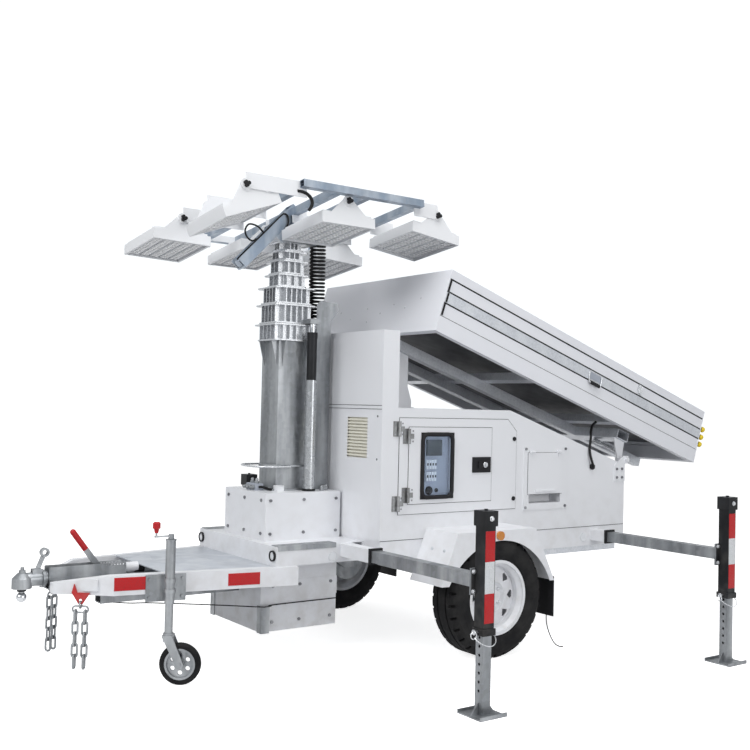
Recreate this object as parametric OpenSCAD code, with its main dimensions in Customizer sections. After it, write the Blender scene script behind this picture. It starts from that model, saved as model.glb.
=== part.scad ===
// Solar light tower trailer: telescopic mast with floodlights, cabinet and slide-out solar array.
// X runs from the hitch to the rear, minus Y is the near side and Z is up from the ground.
// Pieces are laid out from the cabinet's front wall, then moved so that the origin is under the middle.

/* [Cabinet] */
// Length of the cabinet
cab_l = 1980; // [1900:10:2100]
// Width of the cabinet
cab_w = 1200; // [1160:10:1260]
// Height of the cabinet floor above the ground
cab_floor = 650; // [640:1:660]
// Height of the flat roof
cab_roof = 1375; // [1350:5:1400]
// Length of the flat part of the roof
roof_flat = 950; // [900:10:1000]
// Depth of the tower on the cabinet's front
tower_d = 110; // [90:5:130]
// Height of the tower's top
tower_top = 1800; // [1760:5:1810]
// Sheet thickness of the cabinet
sheet = 3; // [2:0.5:4]

/* [Doors] */
// Front edge of the outer door
door_x = 120; // [110:1:140]
// Width of the outer door
door_w = 880; // [840:5:900]
// Lower edge of the outer door
door_z = 790; // [780:1:810]
// Height of the outer door
door_h = 530; // [500:5:540]
// Thickness of the door panels
door_t = 20; // [16:1:24]
// Corner cut of the outer door
door_cut = 70; // [40:5:90]
// Margin from the outer door's front edge to the inner door
inner_in = 65; // [60:1:80]
// Width of the inner door
inner_w = 615; // [560:5:640]
// Margin from the outer door's lower edge to the inner door
inner_up = 55; // [50:1:60]
// Height of the inner door
inner_h = 425; // [400:5:430]

/* [Array] */
// Tilt of the solar array
arr_tilt = 18.3; // [17:0.1:20]
// Length of the array along its slope
arr_l = 2450; // [2400:10:2500]
// Width of the array
arr_w = 1300; // [1260:10:1340]
// Thickness of the whole stack
arr_t = 370; // [360:1:390]
// Front lower corner of the array behind the cabinet's front
arr_x = 318; // [300:1:340]
// Front lower corner of the array above the ground
arr_z = 1814; // [1800:1:1840]
// Depth of the bottom frame
base_t = 91; // [85:1:95]
// Thickness of each slide-out panel
panel_t = 76; // [70:1:80]
// Depth of the rail between the panels
mid_t = 60; // [50:1:64]

/* [Mast] */
// Distance of the mast ahead of the cabinet
mast_x = -265; // [-275:1:-255]
// Width of the fixed mast tube
mast_w = 190; // [186:1:194]
// Wall of the mast tubes
mast_wall = 5; // [4:0.5:6]
// Width lost from one section to the next
mast_step = 22; // [20:1:23]
// Height of the base box on the platform
base_box_h = 260; // [240:5:280]
// Height at which the lowest collar starts
mast_top = 1740; // [1700:5:1760]

/* [Running gear] */
// Radius of the tyre
tyre_r = 334; // [320:1:340]
// Width of the tyre
tyre_w = 205; // [195:1:215]
// Radius of the rim seat
rim_r = 198; // [195:1:200]
// Place of the wheels behind the cabinet's front
wheel_x = 640; // [620:5:660]
// Distance from the middle to each wheel
wheel_y = 765; // [760:1:780]
// Radius of the stub axle
stub_r = 20; // [18:0.5:24]

/* [Outriggers] */
// Place of the near front arm
front_arm_x = -115; // [-125:1:-105]
// Rear outriggers, measured in from the tail of the cabinet
rear_arm_in = 280; // [260:5:300]
// Height of the arms
arm_z = 597; // [594:1:600]
// Width of an arm
arm_w = 60; // [56:1:62]
// Reach of an arm's end when it is out
arm_out = 1533; // [1500:1:1560]
// Travel of an arm
arm_travel = 780; // [700:10:790]
// Width of a jack tube
jack_w = 64; // [60:1:68]
// Width of a leg
leg_w = 50; // [46:1:52]
// Height to which the folded legs are raised
leg_up = 300; // [250:10:320]

/* [Drawbar] */
// Place of the drawbar's nose
nose_x = -1600; // [-1650:5:-1560]
// Height of a rail
rail_h = 97; // [90:1:100]
// Thickness of a rail
rail_w = 50; // [45:1:55]
// Place of the jockey wheel
jockey_x = -1120; // [-1150:5:-1090]
// Wire of the safety chains
chain_d = 11; // [9:0.5:12]
// Inside length of a chain link
chain_p = 54; // [48:1:60]

/* [Lamps] */
// Height of the lamp frame over the mast
head_z = 2455; // [2445:1:2480]
// Tilt of the lamp frame, near side up
head_roll = 6.7; // [4:0.1:8]
// Size of a lamp along the frame
lamp_l = 340; // [300:5:360]
// Size of a lamp across the frame
lamp_w = 420; // [400:5:430]
// Thickness of a lamp
lamp_t = 70; // [60:1:80]
// Drop from a lamp's pivot to its case
lamp_drop = 62; // [56:1:70]

/* [Hidden] */
rear_arm_x = cab_l - rear_arm_in;
$fn = 48;

// Finishes
white = [0.93, 0.94, 0.95];
zinc = [0.68, 0.71, 0.74];
black = [0.06, 0.06, 0.07];
red = [0.75, 0.05, 0.05];
amber = [0.95, 0.5, 0.05];
chrome = [0.8, 0.81, 0.83];

// Clearances
run_gap = 0.05;
slide_gap = 0.5;
seat_gap = 0.3;
door_gap = 3;

// Half sizes and shared places
cab_y = cab_w / 2;
arr_y = arr_w / 2;
slope = tan(arr_tilt);
rear_top = cab_roof - (cab_l - roof_flat) * slope;
chassis_h = 120;
chassis_w = 60;
chassis_z = cab_floor - chassis_h;
plat_x0 = -550;
plat_x1 = 5;
plat_y = 450;
plat_t = 8;
plat_top = cab_floor - 15;
rail_top = plat_top - 103;
rail_z = rail_top - rail_h;
base_box = [[-500, -235], [-15, 235]];
base_top = plat_top + base_box_h;

// Trailer length and width set the origin
ball_x = nose_x - 115;
nose_end = ball_x - 48;
foot_s = 160;
jack_y = arm_out + 10 + jack_w / 2;
near_edge = -jack_y - foot_s / 2;
far_edge = jack_y - arm_travel + foot_s / 2;
fender_out = wheel_y + tyre_w / 2 + 8;
lamp_lens_h = 14;
far_side = max(far_edge, fender_out + lamp_lens_h);
rear_end = arr_x + arr_l * cos(arr_tilt) + arr_t * sin(arr_tilt);
origin = [(nose_end + rear_end) / 2, (near_edge + far_side) / 2, 0];

// Boxes, tubes and outlines
module span(lo, hi) translate(lo) cube(hi - lo);

module side(points, y0, y1)
    translate([0, y1, 0]) rotate([90, 0, 0]) linear_extrude(y1 - y0) polygon(points);

module rod_x(y, z, r, x0, x1) translate([x0, y, z]) rotate([0, 90, 0]) cylinder(h = x1 - x0, r = r);

module rod_y(x, z, r, y0, y1) translate([x, y0, z]) rotate([-90, 0, 0]) cylinder(h = y1 - y0, r = r);

module rod_z(x, y, r, z0, z1) translate([x, y, z0]) cylinder(h = z1 - z0, r = r);

module tube_x(y, z, w, h, wall, x0, x1) difference() {
    span([x0, y - w / 2, z - h / 2], [x1, y + w / 2, z + h / 2]);
    span([x0 - 1, y - w / 2 + wall, z - h / 2 + wall], [x1 + 1, y + w / 2 - wall, z + h / 2 - wall]);
}

module tube_y(x, z, w, h, wall, y0, y1) difference() {
    span([x - w / 2, y0, z - h / 2], [x + w / 2, y1, z + h / 2]);
    span([x - w / 2 + wall, y0 - 1, z - h / 2 + wall], [x + w / 2 - wall, y1 + 1, z + h / 2 - wall]);
}

module tube_z(x, y, w, wall, z0, z1) difference() {
    span([x - w / 2, y - w / 2, z0], [x + w / 2, y + w / 2, z1]);
    span([x - w / 2 + wall, y - w / 2 + wall, z0 - 1], [x + w / 2 - wall, y + w / 2 - wall, z1 + 1]);
}

module both_sides() {
    children();
    mirror([0, 1, 0]) children();
}

// Hexagon heads that stand on a face
bolt_r = 9;
bolt_h = 7;
module bolt_y(x, z, y) translate([x, y, z]) rotate([90, 0, 0]) cylinder(h = bolt_h, r = bolt_r, $fn = 6);
module bolt_x(y, z, x) translate([x, y, z]) rotate([0, -90, 0]) cylinder(h = bolt_h, r = bolt_r, $fn = 6);
module bolt_z(x, y, z) translate([x, y, z]) cylinder(h = bolt_h, r = bolt_r, $fn = 6);

// Drawbar
rail_nose = [nose_x, -95];
rail_knee = [nose_x + 230, -285];
rail_back = [-430, -453];
nose_h = 50;
function rail_y(x) = rail_knee[1]
    + (x - rail_knee[0]) * (rail_back[1] - rail_knee[1]) / (rail_back[0] - rail_knee[0]);

module drawbar_rail() {
    half = rail_w / 2;
    intersection() {
        translate([0, 0, rail_z]) linear_extrude(rail_h) polygon([
            rail_nose + [0, half], rail_knee + [0, half], rail_back + [0, half],
            rail_back - [0, half], rail_knee - [0, half], rail_nose - [0, half]]);
        side([[nose_x, rail_z], [0, rail_z], [0, rail_top], [rail_knee[0], rail_top],
            [nose_x, rail_z + nose_h]], -600, 0);
    }
    // Welded pad on the slanted nose, ahead of the hook
    nose_frame() {
        translate([20, -12, rail_z + 22]) cube([62, 12, 56]);
        translate([20, 0, rail_z + 50]) rotate([90, 0, 0]) cylinder(h = 12, r = 28);
    }
}

module near_drawbar_rail() color(white) drawbar_rail();
module far_drawbar_rail() color(white) mirror([0, 1, 0]) drawbar_rail();

// The hooks sit on the slanted noses: their frame starts at the hook, on the rail's outer face
hook_x = nose_x + 108;
nose_turn = atan2(rail_knee[1] - rail_nose[1], rail_knee[0] - rail_nose[0]);
hook_y = rail_nose[1] - rail_w / 2 + (hook_x - nose_x) * tan(nose_turn);
hook_t = 10;
hook_r = 9;
hook_z = rail_z - 26;
module nose_frame() translate([hook_x, hook_y, 0]) rotate([0, 0, nose_turn]) children();

tongue_w = 90;
tongue_z0 = rail_z + 5;
tongue_h = 50;
deck_t = 5;
deck_x0 = -1120;
chan_x = [nose_x + 5, -1200];
chan_y = 40;
chan_top = tongue_z0 + tongue_h + 60;
brake_x = -1335;
brake_z = chan_top - 17;
beam_z = 375;
module tongue_beam() {
    color(zinc) {
        tube_x(0, tongue_z0 + tongue_h / 2, tongue_w, tongue_h, 6, nose_x + 5, plat_x0 + 7);
        // Lower beam and the hangers that tie it to the tongue
        tube_x(0, beam_z, 80, 56, 5, -1330, plat_x0 + 7);
        for (x = [-1330, -960, -600])
            span([x, -40, beam_z + 27], [x + 40, 40, tongue_z0 + 1]);
        // Overrun channel, with the holes that hold the handbrake
        difference() {
            span([chan_x[0], -chan_y, tongue_z0 + tongue_h - 1], [chan_x[1], chan_y, chan_top]);
            span([chan_x[0] - 1, -chan_y + 5, tongue_z0 + tongue_h + 4], [chan_x[1] + 1, chan_y - 5, chan_top + 1]);
            for (i = [0 : 6])
                rod_y(brake_x + 30 + i * 15, chan_top - 9, 4, -chan_y - 1, chan_y + 1);
        }
        rod_y(brake_x, brake_z, 8, -chan_y, chan_y);
        // Tread plate over the rails
        translate([0, 0, rail_top - deck_t]) linear_extrude(deck_t) polygon([
            [deck_x0, rail_y(deck_x0) + rail_w / 2], [plat_x0, rail_y(plat_x0) + rail_w / 2],
            [plat_x0, -rail_y(plat_x0) - rail_w / 2], [deck_x0, -rail_y(deck_x0) - rail_w / 2]]);
        span([deck_x0 + 30, -25, tongue_z0 + tongue_h - 1], [plat_x0 - 20, 25, rail_top - deck_t + 1]);
    }
    // Draw tube and its rubber boot behind the channel
    color(white) rod_x(0, tongue_z0 + tongue_h + 28, 25, chan_x[1] - 60, deck_x0 - 5);
    color(black) rod_x(0, tongue_z0 + tongue_h + 16, 17, deck_x0 - 20, deck_x0 + 40);
    color(red) both_sides() nose_frame() difference() {
        union() {
            side([[-45, rail_z + 12], [45, rail_z + 12], [10, rail_z - 42], [-10, rail_z - 42]], -hook_t, 0);
            side([[-45, rail_z + 11], [-18, rail_z + 11], [-34, rail_z + 52]], -hook_t, 0);
        }
        rod_y(0, hook_z, hook_r, -hook_t - 1, 1);
    }
}

coupler_z = 493;
coupler_r = 34;
ball_r = 25;
ball_z = 410;
lever_x = ball_x + 70;
module coupling_head() color(zinc) {
    difference() {
        union() {
            rod_x(0, coupler_z, coupler_r, ball_x, nose_x + 5);
            rod_x(0, coupler_z, coupler_r + 10, nose_x - 22, nose_x - 8);
            rod_z(ball_x, 0, 48, coupler_z - 40, coupler_z + 8);
            translate([ball_x, 0, coupler_z + 8]) cylinder(h = 26, r1 = 48, r2 = 22);
            span([lever_x - 24, -20, coupler_z], [lever_x + 24, 20, coupler_z + 50]);
        }
        span([lever_x - 25, -9, coupler_z + coupler_r - 10], [nose_x - 7, 9, coupler_z + 51]);
    }
    // Stud with its nut above, and the black collar and the ball below
    rod_z(ball_x, 0, 9, coupler_z + 34, coupler_z + 62);
    translate([ball_x, 0, coupler_z + 34]) cylinder(h = 14, r = 17, $fn = 6);
    rod_z(ball_x, 0, 22, coupler_z - 54, coupler_z - 40);
    rod_z(ball_x, 0, 14, ball_z, coupler_z - 54);
    translate([ball_x, 0, ball_z]) sphere(r = ball_r);
    rod_y(lever_x, coupler_z + 42, 5, -20, 20);
}

lever_up = [34, 118];
module coupling_lever() color(zinc) difference() {
    union() {
        side([[lever_x - 10, coupler_z + 40], [lever_x + 12, coupler_z + 40],
            [lever_x + lever_up[0] + 10, coupler_z + lever_up[1]],
            [lever_x + lever_up[0] - 12, coupler_z + lever_up[1]]], -6, 6);
        rod_y(lever_x, coupler_z + 42, 13, -6, 6);
        rod_y(lever_x + lever_up[0] + 2, coupler_z + lever_up[1] + 10, 22, -14, 14);
    }
    rod_y(lever_x, coupler_z + 42, 5 + run_gap, -7, 7);
    rod_y(lever_x + lever_up[0] + 2, coupler_z + lever_up[1] + 10, 13, -15, 15);
}

grip = [-135, 180];
module handbrake_lever() {
    color(zinc) difference() {
        union() {
            side([[brake_x - 14, brake_z - 8], [brake_x + 14, brake_z + 8],
                [brake_x + grip[0] / 2 + 12, brake_z + grip[1] / 2 + 8],
                [brake_x + grip[0] / 2 - 12, brake_z + grip[1] / 2 - 8]], -4, 4);
            rod_y(brake_x, brake_z, 18, -4, 4);
        }
        rod_y(brake_x, brake_z, 8 + run_gap, -5, 5);
    }
    color(red) translate([brake_x + grip[0] / 2, 0, brake_z + grip[1] / 2])
        rotate([0, -atan2(-grip[0], grip[1]), 0]) {
            cylinder(h = norm(grip) / 2, r = 15);
            translate([0, 0, norm(grip) / 2]) sphere(r = 15);
        }
}

// Safety chains: a ring in the hook, a wide joining link and two strands of stadium links
link_r = 13;
link_play = 0.6;
links = 5;
ring_r = 16;
ring_d = 8;
join_r = 15;
join_d = 9;
ring_z = hook_z - hook_r + ring_d / 2 + 1.6 - ring_r;
join_z = ring_z - ring_r + ring_d / 2 + join_d / 2 + 0.4 - join_r;
strand_z = join_z - join_r + join_d / 2 + 0.4 - chain_p / 2;
module stadium(straight, r, d) for (s = [-1, 1]) {
    translate([0, 0, s * straight / 2]) rotate([90, 0, 0]) rotate([0, 0, s < 0 ? 180 : 0])
        rotate_extrude(angle = 180) translate([r, 0]) circle(d = d);
    translate([s * r, 0, -straight / 2]) cylinder(h = straight, d = d);
}

module chain() nose_frame() translate([0, -hook_t / 2, 0]) {
    straight = chain_p + chain_d - 2 * link_r;
    translate([0, 0, ring_z]) rotate([0, 90, 0]) rotate_extrude() translate([ring_r, 0]) circle(d = ring_d);
    translate([0, 0, join_z]) rotate([0, 90, 0]) stadium(chain_gap * 2, join_r, join_d);
    for (strand = [-1, 1], i = [0 : links - 1])
        translate([strand * chain_gap, 0, strand_z - i * (chain_p - link_play)])
            rotate([0, 0, (i + 1) % 2 * 90]) stadium(straight, link_r, chain_d);
}

chain_gap = 24;
module near_chain() color(zinc) chain();
module far_chain() color(zinc) mirror([0, 1, 0]) chain();

// Jockey wheel
jockey_r = 24;
jockey_y = rail_y(jockey_x) - rail_w / 2 - 24 - jockey_r;
jockey_top = 700;
jockey_low = 395;
jleg_r = 20;
jleg_low = 250;
jfork_top = jleg_low;
jwheel_r = 102;
jwheel_w = 46;
jtrail = 62;
jockey_turn = 54;
jwheel_y = jockey_y - jtrail;
crank_z = jockey_top + 18;
module jockey_tube() color(zinc) {
    difference() {
        union() {
            rod_z(jockey_x, jockey_y, jockey_r, jockey_low, jockey_top);
            rod_z(jockey_x, jockey_y, jockey_r + 3, jockey_top, jockey_top + 6);
            rod_z(jockey_x, jockey_y, jockey_r + 5, rail_z + 10, rail_z + 30);
            rod_z(jockey_x, jockey_y, jockey_r + 5, rail_z + 60, rail_z + 80);
            span([jockey_x - 14, jockey_y, rail_z + 8], [jockey_x + 14, rail_y(jockey_x) - rail_w / 2 - 3.5, rail_z + 84]);
        }
        rod_z(jockey_x, jockey_y, jleg_r + run_gap, jockey_low - 1, jockey_top - 10);
        rod_z(jockey_x, jockey_y, 9 + run_gap, jockey_top - 20, jockey_top + 7);
    }
    // Bracket plate bolted to the rail
    plate = atan2(rail_back[1] - rail_knee[1], rail_back[0] - rail_knee[0]);
    translate([jockey_x, rail_y(jockey_x) - rail_w / 2 - 0.05, rail_z]) rotate([0, 0, plate]) {
        translate([-100, -6, -38]) cube([200, 6, rail_h + 34]);
        for (x = [-82, 82], z = [-16, rail_h - 26])
            bolt_y(x, z, -6);
    }
}

module jockey_leg() color(zinc) {
    difference() {
        rod_z(jockey_x, jockey_y, jleg_r, jleg_low, jockey_low + 150);
        rod_z(jockey_x, jockey_y, 13, jockey_low - 10, jockey_low + 151);
    }
    rod_z(jockey_x, jockey_y, 11, jleg_low - 40, jleg_low);
}

module swivelled() translate([jockey_x, jockey_y, 0]) rotate([0, 0, jockey_turn])
    translate([-jockey_x, -jockey_y, 0]) children();

module jockey_fork() color(zinc) swivelled() difference() {
    union() {
        rod_z(jockey_x, jockey_y, 26, jfork_top - 42, jfork_top - seat_gap);
        for (s = [-1, 1]) {
            x = jockey_x + s * (jwheel_w / 2 + 6);
            translate([x - 3, 0, 0]) rotate([90, 0, 90]) linear_extrude(6) polygon([
                [jockey_y + 26, jfork_top - 14], [jockey_y - 26, jfork_top - 14],
                [jwheel_y - 22, jwheel_r - 2], [jwheel_y - 14, jwheel_r - 18], [jwheel_y + 10, jwheel_r - 20]]);
        }
        span([jockey_x - jwheel_w / 2 - 9, jockey_y - 26, jfork_top - 20],
            [jockey_x + jwheel_w / 2 + 9, jockey_y + 26, jfork_top - 8]);
        rod_x(jwheel_y, jwheel_r, 8, jockey_x - jwheel_w / 2 - 14, jockey_x + jwheel_w / 2 + 14);
    }
    rod_z(jockey_x, jockey_y, 11 + run_gap, jfork_top - 60, jfork_top + 1);
}

module jockey_wheel() swivelled() translate([jockey_x - jwheel_w / 2, jwheel_y, jwheel_r]) rotate([0, 90, 0]) {
    color(black) rotate_extrude() polygon([[76, 4], [90, 2], [98, 8], [jwheel_r, 16], [jwheel_r, jwheel_w - 16],
        [98, jwheel_w - 8], [90, jwheel_w - 2], [76, jwheel_w - 4]]);
    color(zinc) difference() {
        union() {
            rotate_extrude() polygon([[8, 2], [24, 2], [24, 17], [66, 17], [66, 6], [76, 6], [76, jwheel_w - 6],
                [66, jwheel_w - 6], [66, jwheel_w - 17], [24, jwheel_w - 17], [24, jwheel_w - 2], [8, jwheel_w - 2]]);
        }
        cylinder(h = jwheel_w * 3, r = 8 + run_gap, center = true);
        for (i = [0 : 5]) rotate([0, 0, i * 60]) translate([43, 0, -1]) cylinder(h = jwheel_w + 2, r = 11);
    }
}

crank_l = 78;
module jockey_crank() {
    color(zinc) {
        rod_z(jockey_x, jockey_y, 9, jockey_top - 9, crank_z + 10);
        rod_z(jockey_x, jockey_y, 14, crank_z - 10, crank_z + 12);
        span([jockey_x - crank_l - 8, jockey_y - 8, crank_z], [jockey_x, jockey_y + 8, crank_z + 7]);
        rod_z(jockey_x - crank_l, jockey_y, 5, crank_z + 7, crank_z + 22);
    }
    color(red) translate([jockey_x - crank_l, jockey_y, crank_z + 22]) {
        cylinder(h = 22, r1 = 9, r2 = 13);
        translate([0, 0, 22]) cylinder(h = 26, r = 19);
        translate([0, 0, 48]) cylinder(h = 6, r1 = 19, r2 = 12);
    }
}

// Chassis with the outrigger sockets
sock_wall = 4;
sock_in = arm_w + 2 * slide_gap;
sock_w = sock_in + 2 * sock_wall;
sock_pitch = sock_w + 4;
sock_y = 720;
collar_l = 14;
arm_in = 480;
sock_end = arm_travel - arm_in + 25;
cross_x = [330, 760, 1190];
module sockets(w, grow) for (x = [front_arm_x, rear_arm_x]) {
    span([x - w / 2, -sock_y - grow, arm_z - w / 2], [x + w / 2, sock_end + grow, arm_z + w / 2]);
    span([x + sock_pitch - w / 2, -sock_end - grow, arm_z - w / 2],
        [x + sock_pitch + w / 2, sock_y + grow, arm_z + w / 2]);
}

module mouth(x, s) {
    collar = sock_w + 14;
    span([x - collar / 2, min(s * sock_y, s * (sock_y + collar_l)), arm_z - collar / 2],
        [x + collar / 2, max(s * sock_y, s * (sock_y + collar_l)), arm_z + collar / 2]);
}

module chassis_frame() color(white) difference() {
    union() {
        both_sides() tube_x(-cab_y + chassis_w / 2, chassis_z + chassis_h / 2, chassis_w, chassis_h, 4,
            plat_x1, cab_l);
        tube_y(plat_x1 + 30, chassis_z + chassis_h / 2, 60, chassis_h, 4, -cab_y, cab_y);
        for (x = cross_x)
            tube_y(x, chassis_z + chassis_h / 2, 60, 80, 4, -cab_y + chassis_w - 4, cab_y - chassis_w + 4);
        tube_y(cab_l - 30, chassis_z + chassis_h / 2, 60, chassis_h, 4, -cab_y + chassis_w - 4, cab_y - chassis_w + 4);
        sockets(sock_w, 0);
        mouth(front_arm_x, -1);
        mouth(front_arm_x + sock_pitch, 1);
        mouth(rear_arm_x, -1);
        mouth(rear_arm_x + sock_pitch, 1);
        // Galvanised angle under each side rail
        both_sides() span([850, -cab_y + 2, chassis_z - 36], [cab_l - 80, -cab_y + 6, chassis_z]);
    }
    sockets(sock_in, 60);
}

module mast_platform() color(white) {
    difference() {
        span([plat_x0, -plat_y, rail_top], [plat_x1, plat_y, plat_top]);
        span([plat_x0 + plat_t, -plat_y + plat_t, rail_top + plat_t], [plat_x1 - plat_t, plat_y - plat_t, plat_top - plat_t]);
        for (x = [front_arm_x, front_arm_x + sock_pitch])
            span([x - sock_w / 2, -plat_y - 1, arm_z - sock_w / 2], [x + sock_w / 2, plat_y + 1, arm_z + sock_w / 2]);
    }
    // Galvanised edge angles on top
    color(zinc) both_sides() {
        span([plat_x0 + 10, -plat_y, plat_top], [-180, -plat_y + 70, plat_top + 4]);
        span([plat_x0 + 10, -plat_y - 3, plat_top - 22], [-180, -plat_y, plat_top + 4]);
    }
    // Round front lamps at the ends
    color(black) both_sides() difference() {
        rod_x(-plat_y + 32, rail_top + 55, 28, plat_x0 - 12, plat_x0);
        rod_x(-plat_y + 32, rail_top + 55, 22, plat_x0 - 13, plat_x0 - 7);
    }
}

box_lo = [-540, -280, 160];
box_seam = 330;
module pump_box() {
    color(white) {
        difference() {
            span(box_lo, [-60, 280, rail_top]);
            span([box_lo[0] + 4, -276, box_lo[2] + 4], [-64, 276, rail_top - 4]);
        }
        // The upper part laps over the lower along the seam
        difference() {
            span([box_lo[0] - 3, -283, box_seam], [-57, 283, rail_z - 8]);
            span([box_lo[0], -280, box_seam - 1], [-60, 280, rail_top]);
        }
    }
    // Corner angles that guide the brake cables
    color(zinc) both_sides() {
        span([box_lo[0] - 4, -300, box_lo[2] - 4], [box_lo[0], -250, 300]);
        span([box_lo[0] - 4, -300, box_lo[2] - 4], [box_lo[0] + 45, -296, 300]);
    }
}

battery = [360, 200, 230];
module batteries() for (i = [0, 1], j = [0 : 2])
    translate([130 + i * 380, -420 + j * 230, cab_floor + sheet]) {
        color(black) cube(battery);
        color(zinc) for (x = [60, 300])
            translate([x, 40, battery[2]]) cylinder(h = 16, r = 10);
    }

// Mast
mast_gap = 4;
tiers = [95, 108, 95, 70, 75, 50, 48];
tier_w = [276, 268, 258, 206, 200, 190, 176];
function mast_size(i) = mast_w - i * mast_step;
function tier_z(i) = i == 0 ? mast_top : tier_z(i - 1) + tiers[i - 1] + mast_gap;
section_low = plat_top + 25;
flange_t = 8;

module cut_square(w, cut) {
    h = w / 2;
    polygon([[-h + cut, -h], [h - cut, -h], [h, -h + cut], [h, h - cut], [h - cut, h], [-h + cut, h],
        [-h, h - cut], [-h, -h + cut]]);
}

// A cast collar: two flanges joined by upright ribs round a square core
module collar(i, hole) {
    w = tier_w[i];
    core = max(mast_size(i), hole + 8) + 6;
    h = tiers[i];
    rib_n = i < 3 ? 2 : 1;
    difference() {
        union() {
            linear_extrude(flange_t) cut_square(w - 24, 26);
            translate([0, 0, h - flange_t]) linear_extrude(flange_t) cut_square(w, 22);
            linear_extrude(h) square(core, center = true);
            for (turn = [0 : 90 : 270], k = [-rib_n : rib_n])
                rotate([0, 0, turn]) translate([k * core / (2 * rib_n + 0.6) - 3, core / 2 - 1, 1])
                    cube([6, (w - core) / 2 - 15, h - 2]);
        }
        translate([0, 0, -1]) linear_extrude(h + 2) square(hole, center = true);
    }
}

module mast_stage(i, low) {
    size = mast_size(i);
    top = tier_z(i);
    last = i == 6;
    hole = last ? 20 : mast_size(i + 1) + 2 * slide_gap;
    translate([mast_x, 0, 0]) {
        tube_z(0, 0, size, mast_wall, low, top + 1);
        translate([0, 0, top]) collar(i, hole);
        if (i > 0)
            tube_z(0, 0, mast_size(i - 1) - 2 * mast_wall - 2 * slide_gap,
                (mast_size(i - 1) - 2 * mast_wall - 2 * slide_gap - size) / 2 + 1, low, low + 40);
    }
}

module mast_tube() color(zinc) {
    mast_stage(0, plat_top);
    translate([mast_x, 0, base_top]) difference() {
        linear_extrude(10) cut_square(250, 30);
        translate([0, 0, -1]) linear_extrude(12) square(mast_w - 2 * mast_wall, center = true);
    }
    // Tapered wings under the lowest collar
    for (turn = [0 : 90 : 270], k = [-1, 1])
        translate([mast_x, 0, mast_top]) rotate([0, 0, turn]) translate([k * 70 - 4, 0, 0]) rotate([90, 0, 90])
            linear_extrude(8) polygon([[mast_w / 2 - 1, -150], [mast_w / 2 + 36, 2], [mast_w / 2 - 1, 2]]);
    // Bent rod ring low on the tube
    difference() {
        rod_z(mast_x, 0, 154, 1030, 1040);
        rod_z(mast_x, 0, 144, 1029, 1041);
        span([mast_x - 200, 0, 1028], [mast_x + 200, 200, 1042]);
    }
    span([mast_x - 152, -5, 1030], [mast_x - mast_w / 2 + 1, 5, 1040]);
    span([mast_x + mast_w / 2 - 1, -5, 1030], [mast_x + 152, 5, 1040]);
}

cyl = [-190, -172];
cyl_r = 28;
rod_r = 16;
cyl_top = mast_top + 50;
module mast_section_1() color(zinc) {
    mast_stage(1, section_low);
    span([cyl[0] - 35, cyl[1] - 34, tier_z(1)], [cyl[0] + 35, -tier_w[1] / 2 + 30, tier_z(1) + 26]);
    color(chrome) rod_z(cyl[0], cyl[1], rod_r, plat_top + 60, tier_z(1) + 10);
}
module mast_section_2() color(zinc) mast_stage(2, section_low + 10);
module mast_section_3() color(zinc) mast_stage(3, section_low + 20);
module mast_section_4() color(zinc) mast_stage(4, section_low + 30);
module mast_section_5() color(zinc) mast_stage(5, section_low + 40);

coil_x = -60;
coil_r = 42;
coil_wire = 7;
coil_z0 = 1860;
coil_z1 = 2340;
coil_turns = 22;
coil_tail = 40;
mast_head = tier_z(6) + tiers[6];
coil_top = coil_z1 + coil_tail;
module mast_section_6() color(zinc) {
    mast_stage(6, section_low + 50);
    // Head plate and the arm that holds the coil cable
    span([mast_x - 70, -70, mast_head], [mast_x + 150, 70, mast_head + 6]);
    span([mast_x + 144, -30, mast_head], [mast_x + 150, 30, coil_top + 6]);
    span([mast_x + 144, -30, coil_top], [coil_x + coil_r + 25, 30, coil_top + 6]);
}

module mast_base_box() color(white) difference() {
    span([base_box[0][0], base_box[0][1], plat_top], [base_box[1][0], base_box[1][1], base_top]);
    span([base_box[0][0] + 4, base_box[0][1] + 4, plat_top - 1], [base_box[1][0] - 4, base_box[1][1] - 4, base_top - 5]);
    span([mast_x - mast_w / 2, -mast_w / 2, plat_top - 2], [mast_x + mast_w / 2, mast_w / 2, base_top + 1]);
    rod_z(cyl[0], cyl[1], cyl_r + seat_gap, plat_top, base_top + 1);
}

film_top = 1520;
module lift_cylinder() {
    color(black) difference() {
        union() {
            rod_z(cyl[0], cyl[1], 38, base_top, base_top + 14);
            rod_z(cyl[0], cyl[1], cyl_r, plat_top, cyl_top);
            rod_z(cyl[0], cyl[1], cyl_r + 2, cyl_top - 36, cyl_top);
        }
        rod_z(cyl[0], cyl[1], rod_r + 4, plat_top + 30, cyl_top - 36);
        rod_z(cyl[0], cyl[1], rod_r + run_gap, plat_top + 30, cyl_top + 1);
    }
    // Film still wrapped round the lower half
    color(chrome) difference() {
        rod_z(cyl[0], cyl[1], cyl_r + 4, base_top + 14, film_top);
        rod_z(cyl[0], cyl[1], cyl_r, base_top + 13, film_top + 1);
    }
}

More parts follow.
